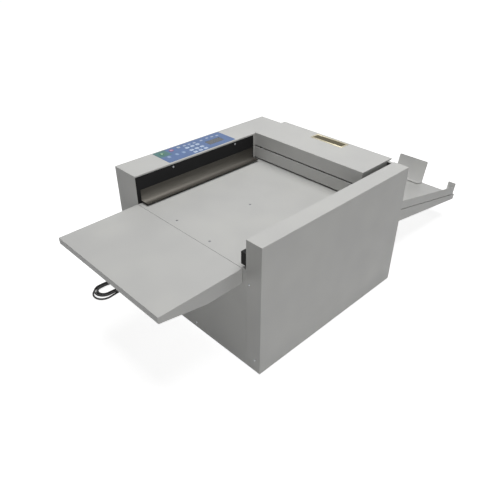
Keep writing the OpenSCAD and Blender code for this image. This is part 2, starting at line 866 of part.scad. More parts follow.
// The moving leaf carries the two outer knuckles
module hinge_cover_leaves() {
    side = hinge_w / 3 - run_gap;
    color("silver") place() difference() {
        for (x = hinge_x) {
            block(x - hinge_w / 2, body_d - leaf_d, cover_under - sheet, [hinge_w, leaf_d - seam, sheet]);
            for (k = [x - hinge_w / 2, x + hinge_w / 2 - side]) {
                block(k, body_d - leaf_d, cover_under - sheet, [side, leaf_d + knuckle_r, sheet]);
                bar_x(k, axis_y, axis_z, knuckle_r, side);
            }
        }
        for (x = hinge_x) bar_x(x - hinge_w / 2 - over, axis_y, axis_z, pin_r + fit_gap, hinge_w + 2 * over);
    }
}

badge_corner = 3;

module badge_frame() {
    color("goldenrod") place()
        translate([panel_x + badge_x - badge_w / 2, cover_y + badge_y - badge_d / 2, cover_top])
            linear_extrude(height = badge_h) difference() {
                round_rect(badge_w, badge_d, badge_corner);
                translate([badge_rim, badge_rim])
                    square([badge_w - 2 * badge_rim, badge_d - 2 * badge_rim]);
            }
}

module badge_plate() {
    color("#4a3a26") place()
        translate([panel_x + badge_x - badge_w / 2 + badge_rim, cover_y + badge_y - badge_d / 2 + badge_rim,
                   cover_top])
            cube([badge_w - 2 * badge_rim, badge_d - 2 * badge_rim, badge_h / 2]);
}

// Keypad

module keypad_membrane() {
    corner = 4;
    color("steelblue") place() difference() {
        translate([pad_x, pad_y, body_h]) linear_extrude(height = pad_t) round_rect(pad_w, pad_l, corner);
        translate([0, 0, body_h - over]) key_openings(pad_t + 2 * over);
    }
}

// A raised key of the membrane, centred on its shares of the membrane
module dome(share, size) {
    corner = 2;
    translate([pad_x + pad_w * share[0] - size[0] / 2, pad_y + pad_l * share[1] - size[1] / 2, body_h + pad_t])
        linear_extrude(height = dome_h) round_rect(size[0], size[1], corner);
}

module membrane_keys() {
    color("white") place() {
        for (s = pale_shares) dome(s, pale_size);
        for (s = blue_shares) dome(s, blue_size);
        for (x = digit_x_shares, y = digit_y_shares) dome([x, y], digit_size);
    }
}

module display_module() {
    x = pad_x + pad_w * window_share[0];
    y = pad_y + pad_l * window_share[1];
    rim = 3;
    color("dimgray") place() {
        block(x - window_w / 2 - rim, y - window_l / 2 - rim, board_top,
              [window_w + 2 * rim, window_l + 2 * rim, standoff_h - run_gap]);
        block(x - window_w / 2 + run_gap, y - window_l / 2 + run_gap, board_top,
              [window_w - 2 * run_gap, window_l - 2 * run_gap, standoff_h + sheet + pad_t / 2]);
    }
}

module keypad_board() {
    post = 3;
    color("seagreen") place() {
        block(pad_x + board_edge, pad_y + board_edge, board_top - board_t,
              [pad_w - 2 * board_edge, pad_l - 2 * board_edge, board_t]);
        for (x = [pad_x + 2 * board_edge, pad_x + pad_w - 2 * board_edge],
             y = [pad_y + 2 * board_edge, pad_y + pad_l - 2 * board_edge])
            translate([x, y, board_top]) cylinder(r = post, h = standoff_h);
        for (k = [start_share, stop_share, reset_share])
            block(pad_x + pad_w * k[0] - touch_h / 2, pad_y + pad_l * k[1] - touch_h / 2, board_top,
                  [touch_h, touch_h, touch_h]);
    }
}

// A round key: cap over the membrane, rim under the housing's top and stem over its switch
module round_key(share, r) {
    rim_top = body_h - sheet - run_gap;
    stem_z = board_top + touch_h + touch_gap;
    stem_r = 2.5;
    translate([pad_x + pad_w * share[0], pad_y + pad_l * share[1], 0]) {
        translate([0, 0, rim_top]) cylinder(r = r, h = key_top - rim_top);
        translate([0, 0, rim_top - key_rim_t]) cylinder(r = r + key_rim, h = key_rim_t);
        translate([0, 0, stem_z]) cylinder(r = stem_r, h = rim_top - stem_z);
    }
}

module start_key() {
    color("limegreen") place() round_key(start_share, key_r);
}

module stop_key() {
    color("crimson") place() round_key(stop_share, key_r);
}

module reset_key() {
    color("lightgray") place() round_key(reset_share, small_key_r);
}

// Extension table and exit tray

module extension_table() {
    reach = table_l * cos(table_droop);
    drop = table_l * sin(table_droop);
    level_drop = table_level * tan(table_droop);
    outline = [
        [0, 0], [-reach, -drop], [-reach, -drop - table_lip], [-table_level, -table_deep - level_drop],
        [0, -table_deep]
    ];
    color("gainsboro") place() {
        translate([table_x, -hang_gap, bed_h]) {
            rotate([90, 0, 90]) linear_extrude(height = table_w)
                polygon([[0, 0], [-reach, -drop], [-reach, -drop - sheet], [0, -sheet]]);
            block(0, -reach, -drop - table_lip, [table_w, sheet, table_lip]);
            block(0, -sheet, -table_deep, [table_w, sheet, table_deep - sheet / 2]);
            side_flange(0, outline);
            side_flange(table_w - sheet, outline);
        }
        for (x = hook_x) hook(x, -hang_gap - sheet / 2, table_hook_z);
    }
}

// A place on the tray's side, from along its slope and square to it
function tray_side(along, square_up) = [
    along * cos(tray_slope) + square_up * sin(tray_slope),
    square_up * cos(tray_slope) - along * sin(tray_slope)
];

module exit_tray() {
    corner = tray_side(tray_l, 0);
    lip_corner = tray_side(tray_l, -tray_lip);
    color("gainsboro") place() {
        translate([table_x, tray_y, tray_h]) {
            rotate([90, 0, 90]) linear_extrude(height = table_w) {
                polygon([[0, 0], corner, tray_side(tray_l, -sheet), [0, -sheet / cos(tray_slope)]]);
                polygon([tray_side(tray_l - sheet, 0), corner, lip_corner,
                         tray_side(tray_l - sheet, -tray_lip)]);
            }
            block(0, 0, -tray_deep, [table_w, sheet, tray_deep - sheet / 2]);
            side_flange(0, [[0, 0], corner, lip_corner, [0, -tray_deep]]);
            side_flange(table_w - sheet, [[0, 0], corner, lip_corner, [0, -tray_deep]]);
        }
        translate([0, tray_y + sheet / 2, 0]) mirror([0, 1, 0]) for (x = hook_x) hook(x, 0, tray_hook_z);
    }
}

// Draws in the tray's own frame: x from its left edge, y down its slope, z square to it
module on_tray() {
    place() translate([table_x, tray_y, tray_h]) rotate([-tray_slope, 0, 0]) children();
}

paddle_lift = run_gap + magnet_t + hair;
magnet_w = 12;
magnet_edge = 6;

// The paddle stands on two magnets that hold it to the steel tray
module stop_paddle() {
    color("gainsboro") on_tray() {
        for (x = [paddle_x + magnet_edge, paddle_x + paddle_w - magnet_edge - magnet_w])
            block(x, paddle_s - paddle_foot + magnet_edge, run_gap,
                  [magnet_w, paddle_foot - 2 * magnet_edge, magnet_t]);
        translate([paddle_x, paddle_s, paddle_lift]) rotate([90, 0, 0]) linear_extrude(height = sheet) {
            round_rect(paddle_w, paddle_h - paddle_lift, paddle_corner);
            square([paddle_w, paddle_corner]);
        }
        translate([paddle_x, paddle_s - paddle_foot, paddle_lift]) linear_extrude(height = sheet) {
            round_rect(paddle_w, paddle_foot, paddle_corner);
            translate([0, paddle_foot - paddle_corner]) square([paddle_w, paddle_corner]);
        }
    }
}

// The side guide stands on three magnet strips
module tray_guide() {
    x = table_w - sheet;
    strip = 60;
    color("gainsboro") on_tray() {
        for (y = [guide_near + magnet_edge, (guide_near + guide_end - strip) / 2,
                  guide_end - magnet_edge - strip])
            block(table_w - flap_w + magnet_edge, y, run_gap, [magnet_w, strip, magnet_t]);
        block(x, guide_near, paddle_lift, [sheet, guide_end - guide_near, guide_h - paddle_lift]);
        block(table_w - flap_w, guide_near, paddle_lift, [flap_w, guide_end - guide_near, sheet]);
        translate([table_w - flap_w, guide_end, paddle_lift]) rotate([90, 0, 0])
            linear_extrude(height = sheet) {
                round_rect(flap_w, flap_h - paddle_lift, paddle_corner / 2);
                square([flap_w, paddle_corner]);
            }
    }
}

// Rollers and drive

shaft_over = 1.5;
shaft_left = feed_belt_x - belt_w / 2 - 2 * run_gap - shaft_over;

// A driven shaft with its toothed pulley
module driven_shaft(y) {
    bar_x(shaft_left, y, lower_z, journal_r, frame_right_out + shaft_end - shaft_left);
    bar_x(frame_left_in + rubber_gap, y, lower_z, core_r, frame_span - 2 * rubber_gap);
    translate([feed_belt_x, y, lower_z]) pulley(journal_r - over);
}

// A toothed pulley's body about the X axis, centred on its belt
module pulley(bore) {
    difference() {
        union() {
            bar_x(-pulley_w / 2, 0, 0, pulley_r, pulley_w);
            for (x = [-pulley_w / 2, pulley_w / 2 - pulley_rim_t])
                bar_x(x, 0, 0, pulley_r + rim_over, pulley_rim_t);
        }
        bar_x(-pulley_w / 2 - over, 0, 0, bore, pulley_w + 2 * over);
    }
}

module sleeves(y) {
    start = frame_left_in + 3 * rubber_gap;
    pitch = (frame_span - 6 * rubber_gap - sleeve_l) / (sleeve_count - 1);
    for (i = [0:sleeve_count - 1]) difference() {
        bar_x(start + i * pitch, y, lower_z, roller_r, sleeve_l);
        bar_x(start + i * pitch - over, y, lower_z, core_r, sleeve_l + 2 * over);
    }
}

module upper_roller(y) {
    left = frame_left_x - upper_over;
    bar_x(left, y, upper_z, journal_r, frame_right_out + shaft_end - left);
    bar_x(frame_left_in + rubber_gap, y, upper_z, roller_r, frame_span - 2 * rubber_gap);
}

module infeed_lower_shaft() {
    color("silver") place() driven_shaft(infeed_y);
}

module infeed_lower_sleeves() {
    color("#2b2b2b") place() sleeves(infeed_y);
}

module infeed_upper_roller() {
    color("silver") place() upper_roller(infeed_y);
}

module outfeed_lower_shaft() {
    color("silver") place() driven_shaft(outfeed_y);
}

module outfeed_lower_sleeves() {
    color("#2b2b2b") place() sleeves(outfeed_y);
}

module outfeed_upper_roller() {
    color("silver") place() upper_roller(outfeed_y);
}

module bearing_bushes() {
    color("goldenrod") place() for (p = bush_places) difference() {
        union() {
            bar_x(frame_left_x, p[0], p[1], bush_r, frame_t);
            bar_x(frame_left_in, p[0], p[1], bush_rim_r, bush_rim_t);
            bar_x(frame_right_x, p[0], p[1], bush_r, frame_t);
            bar_x(frame_right_x - bush_rim_t, p[0], p[1], bush_rim_r, bush_rim_t);
        }
        bar_x(0, p[0], p[1], journal_r + fit_gap, body_w);
    }
}

module motor(p) {
    step = 6;
    color("#3a3a3c") place() difference() {
        union() {
            block(frame_left_in, p[0] - motor_s / 2, p[1] - motor_s / 2, [step, motor_s, motor_s]);
            block(frame_left_in, p[0] - motor_s / 2 + sheet, p[1] - motor_s / 2 + sheet,
                  [motor_l, motor_s - 2 * sheet, motor_s - 2 * sheet]);
            bar_x(frame_left_in - boss_t, p[0], p[1], boss_r, boss_t);
        }
        bar_x(frame_left_in - boss_t - over, p[0], p[1], motor_shaft_r + fit_gap, boss_t + over + shaft_deep);
        motor_holes(frame_left_in - over, p, screw_r, step + over);
    }
}

module motor_rotor(belt_x, p) {
    left = belt_x - pulley_w / 2 - sheet;
    translate([belt_x, p[0], p[1]]) pulley(motor_shaft_r - over);
    bar_x(left, p[0], p[1], motor_shaft_r, frame_left_in + shaft_deep - over - left);
}

module feed_motor() {
    motor(motor_places[0]);
}

module feed_motor_pulley() {
    color("lightgray") place() motor_rotor(feed_belt_x, motor_places[0]);
}

module crease_motor() {
    motor(motor_places[1]);
}

module crease_motor_pulley() {
    color("lightgray") place() motor_rotor(crease_belt_x, motor_places[1]);
}

// Outline round pulleys of one radius
module belt_outline(centres, r) {
    hull() for (c = centres) translate(c) circle(r = r);
}

module belt(x, centres) {
    translate([x - belt_w / 2, 0, 0]) rotate([90, 0, 90]) linear_extrude(height = belt_w) difference() {
        belt_outline(centres, belt_r + belt_t);
        belt_outline(centres, belt_r);
    }
}

module feed_belt() {
    color("#202020") place()
        belt(feed_belt_x, [motor_places[0], [outfeed_y, lower_z], [infeed_y, lower_z]]);
}

module crease_belt() {
    color("#202020") place() belt(crease_belt_x, [motor_places[1], [die_y, cam_z]]);
}

// Crease unit

module cam_shaft() {
    left = crease_belt_x - pulley_w / 2 - sheet;
    color("silver") place() {
        bar_x(left, die_y, cam_z, journal_r, frame_right_out + shaft_end - left);
        for (x = cam_x) bar_x(x - cam_w / 2, die_y, cam_z + cam_throw, cam_r, cam_w);
        translate([crease_belt_x, die_y, cam_z]) pulley(journal_r - over);
    }
}

// Carrier bar with a yoke round each eccentric and a bore on each guide post
module blade_carrier() {
    x = frame_left_in + over;
    color("darkgray") place() difference() {
        union() {
            block(x, die_y - carrier_w / 2, carrier_z, [frame_span - 2 * over, carrier_w, carrier_h]);
            for (c = cam_x) {
                block(c - yoke_t / 2, die_y - yoke_r - yoke_wall, carrier_top - over,
                      [yoke_t, 2 * (yoke_r + yoke_wall), cam_z + stroke - carrier_top + over]);
                bar_x(c - yoke_t / 2, die_y, cam_z + stroke, yoke_r + yoke_wall, yoke_t);
            }
        }
        for (c = cam_x) {
            for (z = [cam_z, cam_z + stroke]) bar_x(c - cam_w, die_y, z, yoke_r, 2 * cam_w);
            block(c - cam_w, die_y - yoke_r, cam_z, [2 * cam_w, 2 * yoke_r, stroke]);
        }
        for (p = post_x)
            translate([p, die_y, carrier_z - over]) cylinder(r = post_r + fit_gap, h = carrier_h + 2 * over);
        block(blade_x, die_y - blade_t / 2, carrier_z - over, [blade_l, blade_t, blade_root + over]);
    }
}

blade_inset = 20;
blade_x = frame_left_in + blade_inset;
blade_l = frame_span - 2 * blade_inset;

module crease_blade() {
    color("lightgray") place()
        block(blade_x, die_y - blade_t / 2, blade_tip, [blade_l, blade_t, carrier_z + blade_root - blade_tip]);
}

// Grooved die bar with the two ledges that carry the sheet past the rollers
module die_bar() {
    ledge = 2;
    roller_gap = 2;
    reach = crease_back - roller_r - roller_gap;
    color("darkgray") place() difference() {
        union() {
            block(frame_left_in, die_y - carrier_w / 2, bed_h - die_h, [frame_span, carrier_w, die_h]);
            block(frame_left_in, die_y - reach, bed_h - ledge, [frame_span, reach, ledge]);
            block(frame_left_in, die_y, bed_h - ledge, [frame_span, outfeed_back - roller_r - roller_gap, ledge]);
        }
        block(blade_x - over, die_y - groove_w / 2, bed_h - groove_d,
              [blade_l + 2 * over, groove_w, groove_d + over]);
        for (p = post_x) translate([p, die_y, bed_h - post_root]) cylinder(r = post_r, h = post_root + over);
    }
}

module guide_posts() {
    color("silver") place() for (p = post_x)
        translate([p, die_y, bed_h - post_root])
            cylinder(r = post_r, h = post_root + carrier_top + post_over - bed_h);
}

// Electrical pieces

supply_size = [215, 115, 50];
supply_in = 107;
supply_x = frame_right_x - supply_in - supply_size[0];
supply_y = 120;

module power_supply() {
    vent_w = 4;
    vent_l = 80;
    vent_pitch = 12;
    color("silver") place() difference() {
        block(supply_x, supply_y, pan_top, supply_size);
        for (i = [0:9])
            block(supply_x + (2 * i + 5) * vent_pitch / 2 + vent_l,
                  supply_y + (supply_size[1] - vent_l) / 2, pan_top + supply_size[2] - over,
                  [vent_w, vent_l, 2 * over]);
    }
}

board_size = [200, 210];
board_drop = 38.5;
board_place = [60, frame_low_z - board_drop - board_size[1]];
board_off = 6;

module control_board() {
    x = frame_left_x - board_off - board_t;
    post = 3;
    margin = 8;
    tall = 22;
    sensor_size = [24, 14, 10];
    color("seagreen") place() {
        block(x, board_place[0], board_place[1], [board_t, board_size[0], board_size[1]]);
        for (y = [board_place[0] + margin, board_place[0] + board_size[0] - margin],
             z = [board_place[1] + margin, board_place[1] + board_size[1] - margin])
            bar_x(x, y, z, post, board_t + board_off);
        for (i = [0:2]) {
            bar_x(x - tall, board_place[0] + (i + 1) * tall, board_place[1] + tall, tall / 3, tall);
            block(x - tall / 2, board_place[0] + board_size[0] / 2 + i * tall, board_place[1] + 3 * tall,
                  [tall / 2, tall / 2, tall]);
        }
        translate([sensor_x, sensor_y, bed_under]) mirror([0, 0, 1])
            block(-sensor_size[0] / 2, -sensor_size[1] / 2, 0, sensor_size);
    }
}

// Recessed plate in the control-side housing with the switch's housing behind it
module inlet_plate() {
    rim_x = sheet;
    floor_x = inlet_d;
    side_play = 1;
    tilt_play = 3;
    box_w = rocker_w + side_play;
    box_h = rocker_h + tilt_play;
    box_d = 16;
    color("#2b2b2b") place() difference() {
        union() {
            block(rim_x, inlet_y - inlet_rim, inlet_z - inlet_rim,
                  [sheet, inlet_l + 2 * inlet_rim, inlet_h + 2 * inlet_rim]);
            block(rim_x, inlet_y - sheet, inlet_z - sheet,
                  [floor_x, inlet_l + 2 * sheet, inlet_h + 2 * sheet]);
            block(floor_x, switch_y - box_w / 2 - switch_wall, relief_z - box_h / 2 - switch_wall,
                  [box_d + switch_wall, box_w + 2 * switch_wall, box_h + 2 * switch_wall]);
        }
        block(0, inlet_y, inlet_z, [floor_x, inlet_l, inlet_h]);
        block(0, switch_y - box_w / 2, relief_z - box_h / 2, [floor_x + box_d, box_w, box_h]);
        bar_y(rocker_axis_x, switch_y - rocker_w, relief_z, pin_r + fit_gap, 2 * rocker_w);
        bar_x(0, relief_y, relief_z, relief_neck, floor_x + 2 * sheet);
    }
}

module power_switch() {
    color("black") place() translate([rocker_axis_x, switch_y, relief_z]) rotate([0, rocker_tilt, 0]) {
        block(-rocker_front, -rocker_w / 2, -rocker_h / 2, [rocker_front + rocker_rear, rocker_w, rocker_h]);
        bar_y(0, -rocker_w / 2 - switch_wall, 0, pin_r, rocker_w + 2 * switch_wall);
    }
}

// A pan head screw along +Z, its head above the origin, with a cross recess
module pan_screw(head_h = screw_head_h, head_r = screw_head_r, l = screw_l) {
    difference() {
        union() {
            cylinder(r = head_r, h = head_h);
            translate([0, 0, -l]) cylinder(r = screw_r, h = l);
        }
        for (a = [0, 90]) rotate(a)
            block(-head_r / 2, -cross_w / 2, head_h - cross_d, [head_r, cross_w, cross_d + over]);
    }
}

module machine_screws() {
    color("darkgray") place() {
        for (s = front_screws) translate([body_w - s[0], 0, s[1]]) rotate([90, 0, 0]) pan_screw(l = sheet);
        for (y = plate_screws)
            translate([left_w + plate_t, y, plate_screw_z]) rotate([0, 90, 0]) pan_screw(l = plate_t + sheet);
        for (s = concat(bed_screws, [beam_screw]))
            translate([left_w + s[0], s[1], bed_h - flush_h]) pan_screw(flush_h, flush_r, 2 * sheet - flush_h);
        for (p = motor_places, dy = [-motor_hole, motor_hole], dz = [-motor_hole, motor_hole])
            translate([frame_left_x, p[0] + dy, p[1] + dz]) rotate([0, -90, 0]) pan_screw(l = frame_t + motor_thread);
    }
}

// Power cord

relief_neck = 7;
relief_tip = 4.6;

module strain_relief() {
    collar = 9;
    collar_t = 2;
    color("#202020") place() {
        bar_x(inlet_d, relief_y, relief_z, relief_neck, sheet);
        bar_x(inlet_d + sheet, relief_y, relief_z, collar, collar_t);
        translate([-relief_out, relief_y, relief_z]) rotate([0, 90, 0])
            cylinder(r1 = relief_tip, r2 = relief_neck, h = relief_out + inlet_d);
    }
}

module cord_runs() {
    sides = 8;
    color("#202020") place() {
        tube(lead_points, cord_r, sides);
        tube(tail_points, cord_r, sides);
    }
}

module cord_hank() {
    color("#202020") place() tube(hank_path, cord_r, hank_sides);
}

// A strap round the hank's left run
module cord_tie() {
    inner = [hank_loops * hank_pitch + cord_d + 2 * tie_gap, hank_layer + cord_d + 1.5 * tie_gap];
    corner = 2;
    x = hank_x - hank_wide - cord_r - tie_gap;
    color("#303030") place() translate([x - tie_t, tie_y + tie_w / 2, 0]) rotate([90, 0, 0])
        linear_extrude(height = tie_w) difference() {
            round_rect(inner[0] + 2 * tie_t, inner[1] + 2 * tie_t, corner);
            translate([tie_t, tie_t]) round_rect(inner[0], inner[1], corner - tie_t);
        }
}

// Draws at the end of the tail: z runs on along the plug
module on_plug() {
    tip = tail_points[len(tail_points) - 1];
    place() translate([tip[0], tip[1], plug_r]) rotate([0, -90, 0]) children();
}

module mains_plug() {
    color("#202020") on_plug() {
        cylinder(r1 = relief_tip, r2 = relief_neck, h = plug_tail);
        translate([0, 0, plug_tail]) cylinder(r = plug_r, h = plug_l);
    }
}

module plug_pins() {
    color("silver") on_plug() translate([0, 0, plug_tail + plug_l]) {
        for (y = [-pin_apart, pin_apart]) block(-pin_w / 2, y - pin_t / 2, 0, [pin_w, pin_t, pin_l]);
        translate([-pin_apart, 0, 0]) cylinder(r = earth_r, h = pin_l);
    }
}

base_pan();
feet_and_bumpers();
left_side_frame();
right_side_frame();
cross_members();
left_cover();
right_cover();
front_panel();
rear_lower_panel();
rear_upper_panel();
feed_bed();
side_plate();
side_guide();
right_rail();
entry_panel();
rear_cover();
hinge_fixed_leaves();
hinge_cover_leaves();
badge_frame();
badge_plate();
keypad_membrane();
membrane_keys();
display_module();
keypad_board();
start_key();
stop_key();
reset_key();
extension_table();
exit_tray();
stop_paddle();
tray_guide();
infeed_lower_shaft();
infeed_lower_sleeves();
infeed_upper_roller();
outfeed_lower_shaft();
outfeed_lower_sleeves();
outfeed_upper_roller();
bearing_bushes();
feed_motor();
feed_motor_pulley();
feed_belt();
crease_motor();
crease_motor_pulley();
crease_belt();
cam_shaft();
blade_carrier();
crease_blade();
die_bar();
guide_posts();
power_supply();
control_board();
inlet_plate();
power_switch();
machine_screws();
strain_relief();
cord_runs();
cord_hank();
cord_tie();
mains_plug();
plug_pins();
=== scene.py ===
# %% [markdown]
# # A desktop paper creasing machine
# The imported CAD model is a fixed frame: every solid already stands where it belongs. This script
# dresses it. It gives each piece its real finish, rounds the folds of the sheet metal, and adds
# what is too fine for the CAD model, such as key legends, screw heads and the cord's round sheath.

# %% Load the frame
import json
import math

import bmesh
import bpy
from mathutils import Euler, Matrix, Vector


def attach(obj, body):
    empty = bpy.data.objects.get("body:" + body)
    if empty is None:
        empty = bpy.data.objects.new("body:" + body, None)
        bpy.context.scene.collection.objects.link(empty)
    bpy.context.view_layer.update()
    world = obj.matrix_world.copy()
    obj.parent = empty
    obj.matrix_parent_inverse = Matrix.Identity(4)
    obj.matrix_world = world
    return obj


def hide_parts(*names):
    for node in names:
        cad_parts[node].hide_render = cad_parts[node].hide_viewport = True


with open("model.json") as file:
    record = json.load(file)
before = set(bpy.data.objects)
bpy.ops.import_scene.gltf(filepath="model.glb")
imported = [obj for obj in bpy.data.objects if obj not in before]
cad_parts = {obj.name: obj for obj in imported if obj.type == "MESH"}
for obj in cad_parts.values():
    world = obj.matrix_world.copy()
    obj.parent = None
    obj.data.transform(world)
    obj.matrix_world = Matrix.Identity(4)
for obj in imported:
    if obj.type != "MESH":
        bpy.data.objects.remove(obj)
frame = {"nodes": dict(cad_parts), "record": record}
NODES = frame["nodes"]
BODY_OF = {name: body for body, names in frame["record"]["behaviour"]["bodies"].items() for name in names}
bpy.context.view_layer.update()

# %% [markdown]
# ## Two ways to say where something is
# The machine was measured in millimetres from its left front corner. The frame is in metres, with
# its origin in the middle of the whole footprint. One function turns the first into the second.

# %% Units and places
MM = 0.001
BODY_WIDTH = 700.0
FOOTPRINT_MIDDLE = 531.701814


def at(x, y, z):
    """A point of the frame from the machine's own millimetres."""
    return Vector(((x - BODY_WIDTH / 2) * MM, (y - FOOTPRINT_MIDDLE) * MM, z * MM))


# %% [markdown]
# ## The camera
# A pinhole camera was fitted to the corners of the machine in the photograph. It stands to the
# right of the front corner and looks down at the bed. The roll of a quarter of a degree is the
# photographer's.

# %% Camera
CAMERA_PLACE = at(1460.5, -793.6, 1214.7)
AZIMUTH, ELEVATION, ROLL = (math.radians(a) for a in (45.417, 34.007, 0.268))
FOCAL_PIXELS, FRAME_PIXELS, SENSOR, FAR_CLIP = 511.61, 500.0, 36.0, 60

back = Vector((
    math.sin(AZIMUTH) * math.cos(ELEVATION),
    -math.cos(AZIMUTH) * math.cos(ELEVATION),
    math.sin(ELEVATION),
))
right = (-back).cross(Vector((0, 0, 1))).normalized()
up = right.cross(-back)
turned_right = right * math.cos(ROLL) + up * math.sin(ROLL)
turned_up = up * math.cos(ROLL) - right * math.sin(ROLL)

camera_data = bpy.data.cameras.new("camera")
camera_data.lens = SENSOR * FOCAL_PIXELS / FRAME_PIXELS
camera_data.sensor_width = SENSOR
camera_data.clip_end = FAR_CLIP
camera = bpy.data.objects.new("camera", camera_data)
facing = Matrix((turned_right, turned_up, back)).transposed().to_4x4()
camera.matrix_world = Matrix.Translation(CAMERA_PLACE) @ facing
bpy.context.scene.collection.objects.link(camera)
bpy.context.scene.camera = camera
print("lens", round(camera_data.lens, 2), "mm")

# %% [markdown]
# ## Colours and nodes
# Colours are written as the sRGB hex values that a painter would pick, and one function turns them
# into the linear light that the shaders count in. A second small function adds a node with its
# settings and links, so that each material reads as a list of what it is made of.

# %% Colour and node helpers
COLOUR_A, COLOUR_B, COLOUR_OUT = 6, 7, 2  # a Mix node's colour sockets, whose names aren't theirs alone
NOISE_LOW, NOISE_HIGH = 0.3, 0.7  # where nearly all of a noise texture's values lie


def colour(hex_value):
    """Linear RGBA from an sRGB hex string."""
    channels = [int(hex_value[i:i + 2], 16) / 255 for i in (1, 3, 5)]
    return tuple(c / 12.92 if c <= 0.04045 else ((c + 0.055) / 1.055) ** 2.4 for c in channels) + (1.0,)


def add(tree, kind, inputs=None, **settings):
    """Adds a node, sets its properties, and sets or links its inputs."""
    made = tree.nodes.new(kind)
    for name, value in settings.items():
        setattr(made, name, value)
    for name, value in (inputs or {}).items():
        if isinstance(value, bpy.types.NodeSocket):
            tree.links.new(value, made.inputs[name])
        else:
            made.inputs[name].default_value = value
    return made


def start(name, hex_value, roughness, metallic=0.0, **more):
    """A new material with its shader and its place coordinates in metres."""
    material = bpy.data.materials.new(name)
    material.use_nodes = True
    tree = material.node_tree
    tree.nodes.clear()
    shader = add(tree, "ShaderNodeBsdfPrincipled", {
        "Base Color": colour(hex_value), "Roughness": roughness, "Metallic": metallic, **more})
    add(tree, "ShaderNodeOutputMaterial", {"Surface": shader.outputs["BSDF"]})
    place = add(tree, "ShaderNodeTexCoord").outputs["Object"]
    print("material", name)
    return material, tree, shader, place


def grain(tree, place, size_mm, stretch=(1, 1, 1), detail=2.0, rough=0.5):
    """Noise whose features are about size_mm across, drawn out along an axis where stretch is small."""
    mapped = add(tree, "ShaderNodeMapping", {"Vector": place, "Scale": stretch})
    return add(tree, "ShaderNodeTexNoise", {
        "Vector": mapped.outputs["Vector"], "Scale": 1 / (size_mm * MM), "Detail": detail, "Roughness": rough,
    }).outputs["Fac"]


def spread(tree, value, low, high):
    """Stretches a noise pattern to run from low to high."""
    return add(tree, "ShaderNodeMapRange", {
        "Value": value, "From Min": NOISE_LOW, "From Max": NOISE_HIGH, "To Min": low, "To Max": high,
    }).outputs["Result"]


def tint(tree, shader, value, first, second):
    """Drives the base colour between two colours, or colour sockets, by a 0 to 1 pattern."""
    mixed = add(tree, "ShaderNodeMix", {"Factor": value, COLOUR_A: first, COLOUR_B: second}, data_type="RGBA")
    tree.links.new(mixed.outputs[COLOUR_OUT], shader.inputs["Base Color"])
    return mixed.outputs[COLOUR_OUT]


def bump(tree, shader, height, depth_mm):
    """Raises the surface by depth_mm where the pattern is 1."""
    made = add(tree, "ShaderNodeBump", {"Height": height, "Strength": 1.0, "Distance": depth_mm * MM})
    tree.links.new(made.outputs["Normal"], shader.inputs["Normal"])


# %% [markdown]
# ## The power cord
# The cord is a 7 mm PVC sheathed mains lead, about 1.77 m long. It leaves the control side through
# a strain relief, drops to the floor, runs forward beside the housing and is folded there into a
# hank whose near fold shows in the photograph below the extension table. The first loop is slack
# and stands out from the others there. The tail comes back out of the top of the hank, crosses the
# lead and ends in the plug. Between its points the line is a smooth curve through all of them,
# never lower than half the cord's thickness, so it lies on the floor and not in it.

# %% Cord route
LEAD = [
    (-20, 250, 78), (-30, 250, 78), (-42, 249, 76), (-53, 247, 70), (-61, 243, 60), (-66, 237, 47),
    (-69, 228, 33), (-70, 216, 20), (-70, 201, 10), (-69, 184, 5), (-67, 164, 3.5), (-64, 142, 3.5),
    (-60, 120, 3.5), (-56, 98, 3.5), (-52, 76, 3.5), (-49, 54, 3.5), (-46.5, 32, 3.5), (-45, 10, 3.5),
    (-44.5, -12, 3.7), (-44.5, -26, 4.3), (-44.5, -37.8, 4.5), (-44.5, -44.8, 4.5),
]
TAIL = [
    (-7.5, -9.2375, 12.1), (-22, -9.2375, 12.1), (-34, -9.4, 12.3), (-46, -9.9, 12.2),
    (-58, -10.6, 11.5), (-69, -11, 11), (-76, -11, 11),
]

# %% Hank
# Middle of the hank, its straight run, half the width of its widest loop, and how much half a width loses
# in each turn. After TURNS_IN turns the cord climbs to the upper layer and widens again, up to TURNS_IN_ALL.
HANK_MIDDLE, HANK_RUN, HANK_HALF, HANK_PITCH = (-0.5, -86.8), 70, 44, 11.5
TURNS_IN, TURNS_IN_ALL, CLIMB_TURNS, STEPS_IN_TURN = 2, 3.875, 0.25, 72
LOW_LAYER, LAYER_STEP = 4.5, 7.6
# Where the slack of the first loop starts, for how many turns it lasts, and how far it reaches each way.
SLACK_FROM, SLACK_TURNS, SLACK = 0.1, 0.62, 6.5


def hank_point(turn):
    """A place on the folded hank after so many turns: left run, near fold, right run, far fold."""
    part, along = divmod((turn % 1) * 4, 1)
    half = HANK_HALF - HANK_PITCH * (turn if turn < TURNS_IN else 2 * TURNS_IN - turn)
    side = [-1, -math.cos(math.pi * along), 1, math.cos(math.pi * along)][int(part)]
    run = HANK_RUN * [0.5 - along, -0.5, along - 0.5, 0.5][int(part)]
    fold = half * math.sin(math.pi * along) * [0, -1, 0, 1][int(part)]
    climb = min(1, max(0, (turn - TURNS_IN) / CLIMB_TURNS))
    slack = SLACK * math.sin(math.pi * min(1, max(0, (turn - SLACK_FROM) / SLACK_TURNS)))
    return (HANK_MIDDLE[0] + half * side + slack, HANK_MIDDLE[1] + run + fold - slack,
            LOW_LAYER + LAYER_STEP * climb)


# %% Smooth line
CORD, CURVE_STEPS = 7.0, 4


